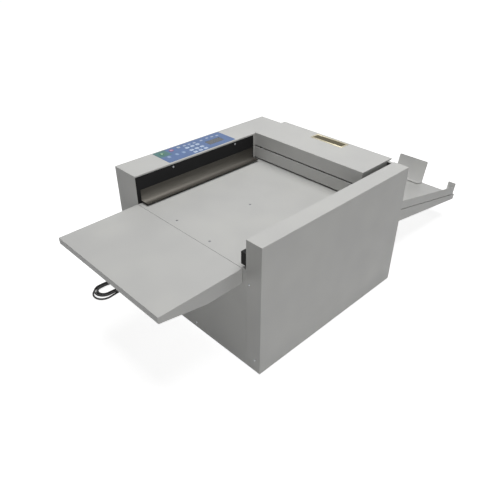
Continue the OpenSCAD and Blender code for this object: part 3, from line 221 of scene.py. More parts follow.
def through(points, steps):
    """A smooth line through every point (Catmull-Rom), with steps pieces between neighbours."""
    ends = [points[0], *points, points[-1]]
    line = []
    for a, b, c, d in zip(ends, ends[1:], ends[2:], ends[3:]):
        a, b, c, d = map(Vector, (a, b, c, d))
        for k in range(steps):
            t = k / steps
            line.append(0.5 * (2 * b + (c - a) * t + (2 * a - 5 * b + 4 * c - d) * t ** 2
                               + (3 * b - a - 3 * c + d) * t ** 3))
    return line + [Vector(points[-1])]


hank = [hank_point(k / STEPS_IN_TURN) for k in range(int(TURNS_IN_ALL * STEPS_IN_TURN) + 1)]
route = [at(x, y, max(z, CORD / 2))
         for x, y, z in through(LEAD, CURVE_STEPS) + [Vector(p) for p in hank] + through(TAIL, CURVE_STEPS)]

# %% [markdown]
# The sheath is soft PVC: nearly black, with a dull gloss and a fine unevenness from the extruder. The
# moulded ends are harder and duller.

# %% PVC sheath and moulded PVC
pvc_sheath, tree, shader, place = start("pvc_sheath", "#161616", 0.42)
tint(tree, shader, spread(tree, grain(tree, place, 9), 0, 1), colour("#121212"), colour("#1d1d1e"))
bump(tree, shader, grain(tree, place, 0.8), 0.05)

moulded_pvc, tree, shader, place = start("moulded_pvc", "#181818", 0.55)
tint(tree, shader, spread(tree, grain(tree, place, 6), 0, 1), colour("#151515"), colour("#1f1f20"))
bump(tree, shader, grain(tree, place, 0.5, detail=4), 0.06)

# %% Cord
cord_curve = bpy.data.curves.new("power_cord", "CURVE")
cord_curve.dimensions = "3D"
cord_curve.bevel_depth = CORD / 2 * MM
cord_curve.bevel_resolution = 4
cord_curve.use_fill_caps = True
spline = cord_curve.splines.new("POLY")
spline.points.add(len(route) - 1)
spline.points.foreach_set("co", [value for p in route for value in (*p, 1.0)])
cord_curve.materials.append(pvc_sheath)
power_cord = bpy.data.objects.new("power_cord", cord_curve)
bpy.context.scene.collection.objects.link(power_cord)

# %% [markdown]
# ## Making pieces
# Most parts are folded sheet steel, so they share two ways of making. `softened` copies a CAD
# solid, joins its loose triangles, and rounds its edges: a broad fold gets the bend's own outer
# radius, a cut edge only the little that powder coat leaves on it. `turned` spins a profile, for
# whatever is round.

# %% Making pieces
def finish(piece, body, material, replaces=()):
    """Gives a finished piece its material, if it has none, and its body, and hides the nodes it stands for.
    """
    if material and not piece.data.materials:
        piece.data.materials.append(material)
    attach(piece, body)
    if replaces:
        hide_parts(*replaces)
    print(piece.name, "on", body)
    return piece


def piece_from(name, bm):
    """A mesh object from a bmesh, shaded smooth."""
    mesh = bpy.data.meshes.new(name)
    for face in bm.faces:
        face.smooth = True
    bm.to_mesh(mesh)
    bm.free()
    piece = bpy.data.objects.new(name, mesh)
    bpy.context.scene.collection.objects.link(piece)
    return piece


def baked(piece):
    """Replaces a piece's modifiers by the mesh they make."""
    graph = bpy.context.evaluated_depsgraph_get()
    mesh = bpy.data.meshes.new_from_object(piece.evaluated_get(graph), depsgraph=graph)
    piece.modifiers.clear()
    old, piece.data = piece.data, mesh
    mesh.name = piece.name
    bpy.data.meshes.remove(old)
    return piece


# %% How far a face reaches
PARALLEL, NO_GAP, TINY = 1e-12, 1e-7, 1e-6
FARTHEST = 1.0  # metres: more than any face reaches


def reach(loop):
    """How far a face runs inward from one of its edges, in mm: the middle of five readings."""
    normal = loop.face.normal
    first, last = loop.vert.co, loop.link_loop_next.vert.co
    inward = normal.cross(last - first).normalized()
    readings = []
    for share in (0.1, 0.3, 0.5, 0.7, 0.9):
        point = first.lerp(last, share)
        nearest = FARTHEST
        for other in loop.face.loops:
            start_co, side = other.vert.co, other.link_loop_next.vert.co - other.vert.co
            across = inward.cross(side).dot(normal)
            if other == loop or abs(across) < PARALLEL:
                continue
            gap = (start_co - point).cross(side).dot(normal) / across
            along = (start_co - point).cross(inward).dot(normal) / across
            if gap > NO_GAP and -TINY <= along <= 1 + TINY:
                nearest = min(nearest, gap)
        readings.append(nearest / MM)
    return sorted(readings)[2]


# %% Softened copies
FOLD_RADIUS, CUT_RADIUS = 1.15, 0.25
BROAD = 3.0  # a face reaching farther than this from its edge is a panel, a narrower one is a cut edge
FLAT, BENT, FOLD_SHARP = (math.radians(a) for a in (0.5, 30, 50))


def softened(name, node, fold=FOLD_RADIUS, cut=CUT_RADIUS, segments=3):
    """A copy of a CAD node with its folds and cut edges rounded."""
    bm = bmesh.new()
    bm.from_mesh(NODES[node].data)
    bmesh.ops.remove_doubles(bm, verts=bm.verts, dist=TINY)
    bmesh.ops.dissolve_limit(bm, angle_limit=FLAT, verts=bm.verts, edges=bm.edges)
    weight = bm.edges.layers.float.new("bevel_weight_edge")
    for edge in bm.edges:
        if len(edge.link_faces) != 2 or edge.calc_face_angle_signed(0) < BENT:
            continue
        both_broad = fold > cut and min(reach(loop) for loop in edge.link_loops) > BROAD
        edge[weight] = 1.0 if both_broad else cut / fold
    piece = piece_from(name, bm)
    rounding = piece.modifiers.new("rounding", "BEVEL")
    rounding.width = fold * MM
    rounding.segments = segments
    rounding.limit_method = "WEIGHT"
    rounding.use_clamp_overlap = False
    baked(piece)
    piece.data.set_sharp_from_angle(angle=FOLD_SHARP)
    flattening = piece.modifiers.new("flattening", "WEIGHTED_NORMAL")
    flattening.keep_sharp = True
    flattening.weight = 100
    return baked(piece)


# %% Turned pieces
ROUND_SHARP = math.radians(40)
POINT = 0.1  # radius at which a turned end is closed flat


def turned(name, profile, start_point, direction, sides=32):
    """A closed solid of revolution: profile lists (distance, radius) in mm along direction."""
    bm = bmesh.new()
    axis = Vector(direction).normalized()
    turn = Vector((0, 0, 1)).rotation_difference(axis).to_matrix()
    rings = []
    for distance, radius in profile:
        rings.append([bm.verts.new(start_point + turn @ Vector((
            radius * MM * math.cos(2 * math.pi * k / sides),
            radius * MM * math.sin(2 * math.pi * k / sides),
            distance * MM))) for k in range(sides)])
    for low, high in zip(rings, rings[1:]):
        for k in range(sides):
            bm.faces.new((low[k], low[(k + 1) % sides], high[(k + 1) % sides], high[k]))
    bm.faces.new(reversed(rings[0]))
    bm.faces.new(rings[-1])
    piece = piece_from(name, bm)
    piece.data.set_sharp_from_angle(angle=ROUND_SHARP)
    return piece


# %% [markdown]
# ## What is on the cord
# The strain relief is a tapered PVC sleeve with grooves that let it bend. The plug is moulded
# round its blades, with a waisted grip that has ridges for the fingers.

# %% Grooves
def grooves(count, first, pitch, radius_at, walls, depth, swell=0.0):
    """Profile points of a row of grooves. Walls says where each one's floor starts and ends, and its end."""
    points = []
    for k in range(count):
        begin = first + k * pitch
        radius = radius_at(begin)
        floor_start, floor_end, end = (begin + wall for wall in walls)
        points += [(begin, radius), (floor_start, radius - depth), (floor_end, radius - depth),
                   (end, radius + swell)]
    return points


# %% Strain relief and plug
CORD_EXIT, PLUG_END = at(*LEAD[0]), at(*TAIL[-1])
relief_profile = [(0, POINT), (0, 4.2), (0.6, 4.6)]
relief_profile += grooves(6, 2.5, 3, lambda begin: 4.6 + 2.4 * begin / 32, (0.25, 1.1, 1.35), 1.0, 0.1)
relief_profile += [(32, 7.0), (33.5, 7.0), (33.5, 9.0), (35.5, 9.0), (35.5, POINT)]
strain_relief = turned("strain_relief_sleeve", relief_profile, CORD_EXIT, (1, 0, 0))
finish(strain_relief, "machine", moulded_pvc, ["strain_relief"])

plug_profile = [(0, POINT), (0, 4.3), (0.5, 4.6)]
plug_profile += grooves(5, 2, 3.2, lambda begin: 4.7 + 2.1 * begin / 20, (0.3, 1.2, 1.5), 0.8, 0.1)
plug_profile += [(19.2, 7.0), (20, 8.6), (20.8, 10.2), (22, 10.9)]
plug_profile += grooves(5, 23.5, 2.6, lambda begin: 10.9, (0.4, 1.2, 1.6), 0.6)
plug_profile += [(38, 10.9), (45.5, 10.9), (47.2, 10.5), (48, 9.6), (48, POINT)]
plug_body = turned("plug_body", plug_profile, PLUG_END, (-1, 0, 0), sides=40)
finish(plug_body, "machine", moulded_pvc, ["mains_plug"])

plug_blades = softened("plug_blades", "plug_pins", fold=0.35, cut=0.35)
cord_strap = softened("cord_strap", "cord_tie", fold=0.3, cut=0.25)

# %% [markdown]
# ## Painted steel
# The housings are folded from 1.5 mm sheet and powder coated. Powder coat is a satin polyester
# film: evenly coloured, with an orange-peel ripple about a millimetre across, and a slight
# cloudiness over a hand's breadth. Its gloss is soft, so the roughness wanders a little too.

# %% Powder coats
def powder_coat(name, hex_value, dark, light, roughness, **more):
    """Satin powder coat with its orange peel and a slow drift of shade."""
    made, tree, shader, place = start(name, hex_value, roughness, **more)
    tint(tree, shader, spread(tree, grain(tree, place, 140, detail=1), 0, 1), colour(dark), colour(light))
    tree.links.new(spread(tree, grain(tree, place, 60), roughness - 0.04, roughness + 0.04),
                   shader.inputs["Roughness"])
    bump(tree, shader, grain(tree, place, 1.1, detail=3), 0.035)
    return made


light_grey_coat = powder_coat("light_grey_powder_coat", "#c6c6c4", "#c3c3c1", "#c9c9c6", 0.44)
black_coat = powder_coat("black_powder_coat", "#161617", "#141415", "#19191a", 0.6,
                         **{"Specular IOR Level": 0.2})
motor_enamel = powder_coat("black_motor_enamel", "#262628", "#222224", "#2b2b2d", 0.38)

# %% [markdown]
# ## Bare metals
# A metal's colour is its reflection, so most of these are pale and differ in how they were worked.
# Zinc plate is cloudy, and duller where it is handled. A ground shaft has fine rings round it. The
# side guide is darker, as in the photograph: its colour is painted shade, far below bare stainless,
# standing in for the dark surroundings that it reflects. It is brushed along its length, so its
# noise is drawn out fifty times there.

# %% Metals
def metal(name, dark, light, roughness, size_mm, stretch, depth_mm):
    """A bare metal with a worked surface."""
    made, tree, shader, place = start(name, light, roughness, 1.0)
    worked = grain(tree, place, size_mm, stretch, detail=3)
    tint(tree, shader, spread(tree, worked, 0, 1), colour(dark), colour(light))
    tree.links.new(spread(tree, worked, roughness - 0.06, roughness + 0.08), shader.inputs["Roughness"])
    bump(tree, shader, worked, depth_mm)
    return made


zinc_plate = metal("zinc_plated_steel", "#9a9da0", "#b4b6b8", 0.42, 14, (1, 1, 1), 0.01)
dull_zinc = metal("dull_zinc_plate", "#7b7e80", "#8d8f91", 0.6, 10, (1, 1, 1), 0.01)
# painted shade: the side guide's steel is coloured far darker than bare stainless, for the dark surroundings
# it reflects
shaded_brushed_guide = metal("brushed_stainless", "#4f4d48", "#5e5b56", 0.46, 1.4, (1, 0.02, 1), 0.004)
ground_steel = metal("ground_steel", "#b9babb", "#cdcecf", 0.24, 0.5, (0.05, 1, 1), 0.004)
machined_aluminium = metal("machined_aluminium", "#b6b8ba", "#cfd1d2", 0.34, 0.6, (0.06, 1, 1), 0.006)
bush_bronze = metal("sintered_bronze", "#8b6a3c", "#a88552", 0.46, 1.0, (1, 1, 1), 0.02)
badge_gold = metal("champagne_gold_anodised", "#b5ad94", "#c9c2ae", 0.34, 0.8, (0.03, 1, 1), 0.004)
badge_bronze = metal("dark_bronze_plate", "#423b22", "#5b5232", 0.36, 0.8, (0.03, 1, 1), 0.004)
nickel = metal("nickel_plated_brass", "#c9c2ad", "#d9d3c2", 0.2, 3, (1, 1, 1), 0.002)

# %% [markdown]
# ## Rubber, plastic and boards
# Rubber is nearly black and dull, with a fine ground texture. Moulded plastic has a spark-eroded
# texture. The circuit boards are green solder resist over glass cloth, whose weave shows as a
# faint lattice.

# %% Rubber, plastics and boards
def soft_solid(name, dark, light, roughness, size_mm, depth_mm):
    """Rubber or moulded plastic with a fine all-over texture."""
    made, tree, shader, place = start(name, light, roughness)
    fine = grain(tree, place, size_mm, detail=4)
    tint(tree, shader, spread(tree, fine, 0, 1), colour(dark), colour(light))
    bump(tree, shader, fine, depth_mm)
    return made


nitrile_rubber = soft_solid("nitrile_rubber", "#1a1a1a", "#242424", 0.72, 0.7, 0.05)
textured_abs = soft_solid("textured_black_abs", "#18181a", "#202022", 0.5, 0.6, 0.06)
rocker_nylon = soft_solid("rocker_nylon", "#0f0f10", "#171718", 0.3, 1.2, 0.02)

circuit_board, tree, shader, place = start("solder_resist_board", "#14563a", 0.34)
weave = add(tree, "ShaderNodeTexChecker", {
    "Vector": place, "Scale": 1 / (0.9 * MM), "Color1": colour("#12502f"), "Color2": colour("#175c40")})
tree.links.new(weave.outputs["Color"], shader.inputs["Base Color"])
bump(tree, shader, grain(tree, place, 1.5), 0.03)

# %% [markdown]
# ## Dressing the sheet metal
# Each panel is a softened copy of its CAD node, so a fold catches a thin line of light as it does
# in the photograph. The table below says which node becomes which piece and with what finish. The
# end flap of the tray guide has corners too small for a fold's radius, so it gets only the cut's.

# %% Sheet metal pieces
PANELS = {
    "control_side_housing": ("left_cover", light_grey_coat),
    "far_side_housing": ("right_cover", light_grey_coat),
    "front_skirt": ("front_panel", light_grey_coat),
    "rear_skirt": ("rear_lower_panel", light_grey_coat),
    "rear_bridge": ("rear_upper_panel", light_grey_coat),
    "bed_plate": ("feed_bed", light_grey_coat),
    "entry_bridge": ("entry_panel", light_grey_coat),
    "hinged_cover": ("rear_cover", light_grey_coat),
    "folded_table": ("extension_table", light_grey_coat),
    "folded_tray": ("exit_tray", light_grey_coat),
    "tray_stop": ("stop_paddle", light_grey_coat),
    "tray_side_guide": ("tray_guide", light_grey_coat),
    "pan_tub": ("base_pan", zinc_plate),
    "black_side_plate": ("side_plate", black_coat),
    "black_side_rail": ("right_rail", black_coat),
    "steel_side_guide": ("side_guide", shaded_brushed_guide),
    "left_frame_plate": ("left_side_frame", zinc_plate),
    "right_frame_plate": ("right_side_frame", zinc_plate),
    "frame_ties": ("cross_members", zinc_plate),
    "inlet_dish": ("inlet_plate", textured_abs),
}
TIGHT = ("tray_guide",)
for name, (node, material) in PANELS.items():
    panel = softened(name, node, fold=CUT_RADIUS if node in TIGHT else FOLD_RADIUS)
    finish(panel, BODY_OF[node], material, [node])
print("softened", len(PANELS), "panels")

# %% [markdown]
# The side lips of the cover stop at the rear panel's flange. Above it a low lip closes the slit that
# the CAD model leaves there, so the cover's rear corners end square, as in the photograph.

# %% Rear ends of the cover's side lips
SHEET, LOW_LIP = 1.5, 4.3
COVER_SIDES, COVER_UNDER = (116.5, 622.0), 481.0
LIP_END, REAR_LIP = 699.0, 725.6
low_lips = bmesh.new()
for edge_x, inward in zip(COVER_SIDES, (1, -1)):
    near = at(edge_x, LIP_END, COVER_UNDER - LOW_LIP)
    far = at(edge_x + inward * SHEET, REAR_LIP, COVER_UNDER)
    bmesh.ops.create_cube(low_lips, size=1, matrix=Matrix.Translation((near + far) / 2)
                          @ Matrix.Diagonal((*(far - near), 1)))
bmesh.ops.recalc_face_normals(low_lips, faces=low_lips.faces)
lip_ends = piece_from("cover_lip_ends", low_lips)
lip_ends.data.set_sharp_from_angle(angle=BENT)
finish(lip_ends, "cover", light_grey_coat)

# %% Plug blades and cord strap
finish(plug_blades, "machine", nickel, ["plug_pins"])
finish(cord_strap, "machine", textured_abs, ["cord_tie"])

# %% [markdown]
# ## Finishes for the nodes that stay
# What hides inside, or is already round, keeps its CAD solid and only takes its real material.

# %% Finishes of the kept nodes
KEPT = {
    "feet_and_bumpers": nitrile_rubber, "hinge_fixed_leaves": dull_zinc, "hinge_cover_leaves": dull_zinc,
    "infeed_lower_shaft": ground_steel, "infeed_lower_sleeves": nitrile_rubber,
    "infeed_upper_roller": ground_steel, "outfeed_lower_shaft": ground_steel,
    "outfeed_lower_sleeves": nitrile_rubber, "outfeed_upper_roller": ground_steel,
    "bearing_bushes": bush_bronze, "feed_motor": motor_enamel, "crease_motor": motor_enamel,
    "feed_motor_pulley": machined_aluminium, "crease_motor_pulley": machined_aluminium,
    "feed_belt": nitrile_rubber, "crease_belt": nitrile_rubber, "cam_shaft": ground_steel,
    "blade_carrier": machined_aluminium, "crease_blade": ground_steel, "die_bar": ground_steel,
    "guide_posts": ground_steel, "power_supply": zinc_plate, "control_board": circuit_board,
    "keypad_board": circuit_board,
}
for node, material in KEPT.items():
    NODES[node].data.materials.clear()
    NODES[node].data.materials.append(material)
print("finished", len(KEPT), "kept nodes")

# %% [markdown]
# ## The keypad
# The keypad is a printed polyester membrane: blue, with a teal field round the start key. The ink
# is on the back of a clear film, so it has a soft, even gloss. The field is worked out from how far
# a point lies aside of the start key, so it needs no picture.

# %% Membrane film
PAD_START = at(30, 174, 478)
FIELD_FULL, FIELD_END = 22, 30

membrane_film, tree, shader, place = start("printed_polyester_film", "#416499", 0.34)
ground = tint(tree, shader, spread(tree, grain(tree, place, 30), 0, 1), colour("#3f6195"), colour("#46699f"))
aside = add(tree, "ShaderNodeVectorMath", {0: place, 1: PAD_START}, operation="SUBTRACT").outputs[0]
aside = add(tree, "ShaderNodeVectorMath", {0: aside}, operation="ABSOLUTE").outputs[0]
sides = add(tree, "ShaderNodeSeparateXYZ", {"Vector": aside}).outputs
away = add(tree, "ShaderNodeMath", {0: sides["X"], 1: sides["Y"]}, operation="MAXIMUM").outputs[0]
field = add(tree, "ShaderNodeMapRange", {
    "Value": away, "From Min": FIELD_FULL * MM, "From Max": FIELD_END * MM, "To Min": 1.0, "To Max": 0.0,
}).outputs["Result"]
tint(tree, shader, field, ground, colour("#2d6a68"))
bump(tree, shader, grain(tree, place, 0.5), 0.01)

membrane = softened("keypad_film", "keypad_membrane", fold=0.15, cut=0.15)
finish(membrane, "machine", membrane_film, ["keypad_membrane"])


# %% Key finishes, inks and painted highlights
def key_plastic(name, hex_value, roughness=0.36):
    """A key's coloured plastic, with a faint cloudiness."""
    made, tree, shader, place = start(name, hex_value, roughness)
    tree.links.new(spread(tree, grain(tree, place, 2), roughness - 0.05, roughness + 0.05),
                   shader.inputs["Roughness"])
    bump(tree, shader, grain(tree, place, 0.4), 0.01)
    return made


white_key = key_plastic("white_key_film", "#a6b3c9")
number_key = key_plastic("number_key_film", "#bccce2")
pale_blue_key = key_plastic("pale_blue_key_film", "#8ba3c6")
green_key = key_plastic("green_key_cap", "#2c7350")
red_key = key_plastic("red_key_cap", "#96507c")
grey_key = key_plastic("grey_key_cap", "#b9c3cf")
legend_ink = key_plastic("dark_blue_ink", "#2c3f63", 0.5)
# painted highlight: these two pale colours are the discs laid in the dishes of the start and stop keys
pale_green_ink = key_plastic("pale_green_ink", "#c3ddc9", 0.5)
pale_red_ink = key_plastic("pale_red_ink", "#d8c3d6", 0.5)

# %% [markdown]
# ## Raised keys
# Nineteen small keys are raised in the membrane in three sizes. They repeat, so one node tree makes
# them: it rounds a rectangle, raises it, and sets it on every point that it is given. The points
# are a mesh of bare vertices, one for each key.

# %% An empty tree
def new_tree(name, sockets):
    """An empty geometry tree with named inputs and one geometry output."""
    tree = bpy.data.node_groups.new(name, "GeometryNodeTree")
    tree.interface.new_socket("Geometry", in_out="INPUT", socket_type="NodeSocketGeometry")
    for socket, kind in sockets.items():
        tree.interface.new_socket(socket, in_out="INPUT", socket_type=kind)
    tree.interface.new_socket("Geometry", in_out="OUTPUT", socket_type="NodeSocketGeometry")
    return tree, add(tree, "NodeGroupInput").outputs, add(tree, "NodeGroupOutput").inputs


# %% Key tree
KEY_TAPER, WELD = 0.94, 0.01
raised_keys, given, result = new_tree("raised_keys", {
    "Across": "NodeSocketFloat", "Along": "NodeSocketFloat", "Corner": "NodeSocketFloat",
    "Height": "NodeSocketFloat", "Finish": "NodeSocketMaterial"})
outline = add(raised_keys, "GeometryNodeCurvePrimitiveQuadrilateral", {
    "Width": given["Across"], "Height": given["Along"]})
rounded = add(raised_keys, "GeometryNodeFilletCurve", {
    "Curve": outline.outputs["Curve"], "Radius": given["Corner"], "Count": 4}, mode="POLY")
flat = add(raised_keys, "GeometryNodeFillCurve", {"Curve": rounded.outputs["Curve"]}, mode="NGONS")
lifted = add(raised_keys, "GeometryNodeExtrudeMesh", {
    "Mesh": flat.outputs["Mesh"], "Offset Scale": given["Height"], "Individual": False})
shrunk = add(raised_keys, "GeometryNodeScaleElements", {
    "Geometry": lifted.outputs["Mesh"], "Selection": lifted.outputs["Top"], "Scale": KEY_TAPER})
underside = add(raised_keys, "GeometryNodeFlipFaces", {"Mesh": flat.outputs["Mesh"]})
closed = add(raised_keys, "GeometryNodeJoinGeometry")
raised_keys.links.new(shrunk.outputs["Geometry"], closed.inputs["Geometry"])
raised_keys.links.new(underside.outputs["Mesh"], closed.inputs["Geometry"])
welded = add(raised_keys, "GeometryNodeMergeByDistance", {
    "Geometry": closed.outputs["Geometry"], "Distance": WELD * MM})
placed = add(raised_keys, "GeometryNodeInstanceOnPoints", {
    "Points": given["Geometry"], "Instance": welded.outputs["Geometry"]})
real = add(raised_keys, "GeometryNodeRealizeInstances", {"Geometry": placed.outputs["Instances"]})
inked = add(raised_keys, "GeometryNodeSetMaterial", {
    "Geometry": real.outputs["Geometry"], "Material": given["Finish"]})
raised_keys.links.new(inked.outputs["Geometry"], result["Geometry"])
print("key tree", len(raised_keys.nodes), "nodes")


# %% Growing on points
def grown(name, points, tree, **values):
    """A mesh that a geometry tree grows on a set of points."""
    mesh = bpy.data.meshes.new(name)
    mesh.from_pydata([tuple(p) for p in points], [], [])
    piece = bpy.data.objects.new(name, mesh)
    bpy.context.scene.collection.objects.link(piece)
    modifier = piece.modifiers.new("grow", "NODES")
    modifier.node_group = tree
    for item in tree.interface.items_tree:
        if item.in_out == "INPUT" and item.name in values:
            modifier[item.identifier] = values[item.name]
    return baked(piece)


# %% Keys on the membrane
PAD_X, PAD_Y, PAD_WIDTH, PAD_LENGTH = 6, 149, 103, 311
PAD_TOP = 478.4
KEY_HEIGHT = 0.3


def on_pad(share):
    """A place on the membrane from its shares of the width and the length."""
    return at(PAD_X + PAD_WIDTH * share[0], PAD_Y + PAD_LENGTH * share[1], PAD_TOP)


PALE = [(0.184, 0.418), (0.194, 0.489), (0.214, 0.559), (0.223, 0.666), (0.184, 0.765), (0.214, 0.839),
        (0.252, 0.91)]
BLUE = [(0.602, 0.092), (0.597, 0.206), (0.621, 0.296)]
DIGITS = [(x, y) for x in (0.398, 0.66, 0.874) for y in (0.405, 0.482, 0.56)]
KEY_SETS = {
    "white_keys": (PALE, 9, 12, white_key), "blue_keys": (BLUE, 15, 12, pale_blue_key),
    "number_keys": (DIGITS, 13, 16, number_key),
}
for name, (shares, across, along, material) in KEY_SETS.items():
    keys = grown(name, [on_pad(s) for s in shares], raised_keys, Across=across * MM, Along=along * MM,
                 Corner=2 * MM, Height=KEY_HEIGHT * MM, Finish=material)
    finish(keys, "machine", None, ["membrane_keys"])
    print(name, len(keys.data.polygons), "faces")

# %% [markdown]
# ## Legends
# The keys carry plain numbers, and the round keys a plain triangle, square and dash: signs that any
# machine uses. They are printed, so they stand only a few hundredths of a millimetre proud. They
# read from the operator's side, where the bed is.

# %% Printing
LEGEND_DEPTH = 0.03
QUARTER_TURN = Matrix.Rotation(math.pi / 2, 4, "Z")


def printed(name, outline, centre, material, body, turn=QUARTER_TURN):
    """A flat shape, its outline in mm, laid down round a centre as a thin closed plate of ink, or of painted
    highlight for the pale discs on the round keys.
    """
    bm = bmesh.new()
    laid = Matrix.Translation(centre) @ turn
    low, high = ([bm.verts.new(laid @ Vector((x * MM, y * MM, depth * MM))) for x, y in outline]
                 for depth in (0, LEGEND_DEPTH))
    bm.faces.new(reversed(low))
    bm.faces.new(high)
    for k in range(len(low)):
        bm.faces.new((low[k - 1], low[k], high[k], high[k - 1]))
    bmesh.ops.recalc_face_normals(bm, faces=bm.faces)
    piece = piece_from(name, bm)
    for face in piece.data.polygons:
        face.use_smooth = False
    finish(piece, body, material)


# %% Number legends
NUMBER_SIZE = 8
number_meshes = bmesh.new()
for number, share in enumerate(DIGITS, start=1):
    letters = bpy.data.curves.new(f"number_{number}", "FONT")
    letters.body = str(number)
    letters.size = NUMBER_SIZE * MM
    letters.align_x = letters.align_y = "CENTER"
    letters.extrude = LEGEND_DEPTH / 2 * MM
    letters.resolution_u = 3
    shape = bpy.data.objects.new(f"number_{number}", letters)
    bpy.context.scene.collection.objects.link(shape)
    bpy.context.view_layer.update()
    graph = bpy.context.evaluated_depsgraph_get()
    flat_number = bpy.data.meshes.new_from_object(shape.evaluated_get(graph))
    bpy.data.objects.remove(shape)
    height = Vector((0, 0, (KEY_HEIGHT + LEGEND_DEPTH / 2) * MM))
    flat_number.transform(Matrix.Translation(on_pad(share) + height) @ QUARTER_TURN)
    number_meshes.from_mesh(flat_number)
    bpy.data.meshes.remove(flat_number)
bmesh.ops.remove_doubles(number_meshes, verts=number_meshes.verts, dist=TINY)
numbers = piece_from("number_legends", number_meshes)
for face in numbers.data.polygons:
    face.use_smooth = False
finish(numbers, "machine", legend_ink)

# %% Round keys
START, STOP, RESET = (0.233, 0.08), (0.204, 0.222), (0.165, 0.334)
KEY_TOP, DISH, DISH_SHARE = 479.2, 0.3, 0.55
STEM_FOOT, STEM_RADIUS = 469.4, 2.5
FLANGE_LOW, FLANGE_TOP, FLANGE_WIDE = 474.9, 476.2, 1.5


def cap(name, share, radius, node, material):
    """A round key: a dished cap with a soft rim, its flange and its stem."""
    centre = at(PAD_X + PAD_WIDTH * share[0], PAD_Y + PAD_LENGTH * share[1], 0)
    profile = [(STEM_FOOT, POINT), (STEM_FOOT, STEM_RADIUS), (FLANGE_LOW, STEM_RADIUS),
               (FLANGE_LOW, radius + FLANGE_WIDE), (FLANGE_TOP, radius + FLANGE_WIDE), (FLANGE_TOP, radius),
               (KEY_TOP - 0.5, radius), (KEY_TOP - 0.12, radius - 0.16), (KEY_TOP, radius - 0.6),
               (KEY_TOP - 0.05, radius - 1.6), (KEY_TOP - DISH, radius * DISH_SHARE), (KEY_TOP - DISH, POINT)]
    key = turned(name, profile, centre, (0, 0, 1), sides=48)
    finish(key, BODY_OF[node], material, [node])


cap("start_cap", START, 9, "start_key", green_key)
cap("stop_cap", STOP, 9, "stop_key", red_key)
cap("reset_cap", RESET, 7, "reset_key", grey_key)


# %% Signs on the round keys
def legend_place(share, layer=0):
    """The middle of a round key's dished top, or so many thin layers above it."""
    return at(PAD_X + PAD_WIDTH * share[0], PAD_Y + PAD_LENGTH * share[1],
              KEY_TOP - DISH + layer * LEGEND_DEPTH)


def disc(radius):
    """The outline of a disc."""
    return [(radius * math.cos(math.pi * k / 16), radius * math.sin(math.pi * k / 16)) for k in range(32)]


HIGHLIGHT_RADIUS = 4.4
TRIANGLE = [(-1.9, -2.6), (2.8, 0), (-1.9, 2.6)]
SQUARE = [(-2, -2), (2, -2), (2, 2), (-2, 2)]
DASH = [(-2.4, -0.5), (2.4, -0.5), (2.4, 0.5), (-2.4, 0.5)]
# painted highlight: a pale disc in the dish of the start and stop keys stands in for the light that the
# dished top catches, and the sign is laid on it
HIGHLIGHT_DISC = disc(HIGHLIGHT_RADIUS)
printed("start_disc", HIGHLIGHT_DISC, legend_place(START), pale_green_ink, "start_button")
printed("start_sign", TRIANGLE, legend_place(START, 1), green_key, "start_button")
printed("stop_disc", HIGHLIGHT_DISC, legend_place(STOP), pale_red_ink, "stop_button")
printed("stop_sign", SQUARE, legend_place(STOP, 1), red_key, "stop_button")
printed("reset_sign", DASH, legend_place(RESET), legend_ink, "reset_button")

# %% [markdown]
# ## The display
# The window is a liquid crystal module behind a grey filter. Unlit, it shows a faint lattice of
# character cells, 4.5 mm wide and 11.3 mm high. A brick pattern with no offset draws them.

# %% Display
display_glass, tree, shader, place = start("display_filter", "#434b54", 0.2)
DISPLAY_CORNER = at(49, 355, 0)
CELL_HEIGHT, CELL_WIDTH, CELL_GAP = 11.3, 4.5, 0.6
cell_place = add(tree, "ShaderNodeVectorMath", {0: place, 1: DISPLAY_CORNER}, operation="SUBTRACT").outputs[0]
cells = add(tree, "ShaderNodeTexBrick", {
    "Vector": cell_place, "Scale": 1.0, "Mortar Size": CELL_GAP * MM, "Mortar Smooth": 0.2,
    "Brick Width": CELL_HEIGHT * MM, "Row Height": CELL_WIDTH * MM, "Color1": colour("#3b424b"),
    "Color2": colour("#3d454e"), "Mortar": colour("#49515a")}, offset=0.0, squash=1.0)
tree.links.new(cells.outputs["Color"], shader.inputs["Base Color"])
display = softened("display_window", "display_module", fold=0.3, cut=0.3)
finish(display, "machine", display_glass, ["display_module"])

# %% [markdown]
# ## Screws
# The screws repeat, so a second tree sets a head on every screw's place: a pan head, or a flush one
# on the bed. A head is spun, then two crossed blocks are cut from it. On the front the heads face
# forward, on the black plate across the bed, on the bed upward, and on the motor mounts outward.

# %% Screw head
SHANK, RECESS_WIDTH = 1.9, 0.85
BLOCK_SHARE = 0.85  # the height of the cutting blocks as a share of the head's
HEAD_SHARP = math.radians(35)


def screw_head(name, radius, height, depth):
    """A domed head with a cross recess, its flat side at the origin and its top along Z."""
    profile = [(-depth, POINT), (-depth, SHANK), (-0.2, SHANK), (0, SHANK), (0, radius - 0.15),
               (0.15, radius)]
    rises = ((0.45, 0.97), (0.7, 0.85), (0.88, 0.62), (0.97, 0.3))
    profile += [(height * rise, radius * share) for rise, share in rises] + [(height, POINT)]
    head = turned(name, profile, Vector((0, 0, 0)), (0, 0, 1), sides=24)
    cutter = bmesh.new()
    for angle in (0, math.pi / 2):
        block = bmesh.ops.create_cube(cutter, size=1)
        bmesh.ops.transform(
            cutter, verts=block["verts"],
            matrix=Matrix.Translation((0, 0, height * MM)) @ Matrix.Rotation(angle, 4, "Z")
            @ Matrix.Diagonal((radius * 1.15 * MM, RECESS_WIDTH * MM, BLOCK_SHARE * MM * height, 1)))
    cross = piece_from(name + "_cross", cutter)
    cut = head.modifiers.new("recess", "BOOLEAN")
    cut.operation, cut.object, cut.use_self = "DIFFERENCE", cross, True
    baked(head)
    bpy.data.objects.remove(cross)
    head.data.set_sharp_from_angle(angle=HEAD_SHARP)
    return head


pan_head = screw_head("pan_head", 3.6, 2.0, 3.0)
flush_head = screw_head("flush_head", 4.0, 1.0, 1.5)

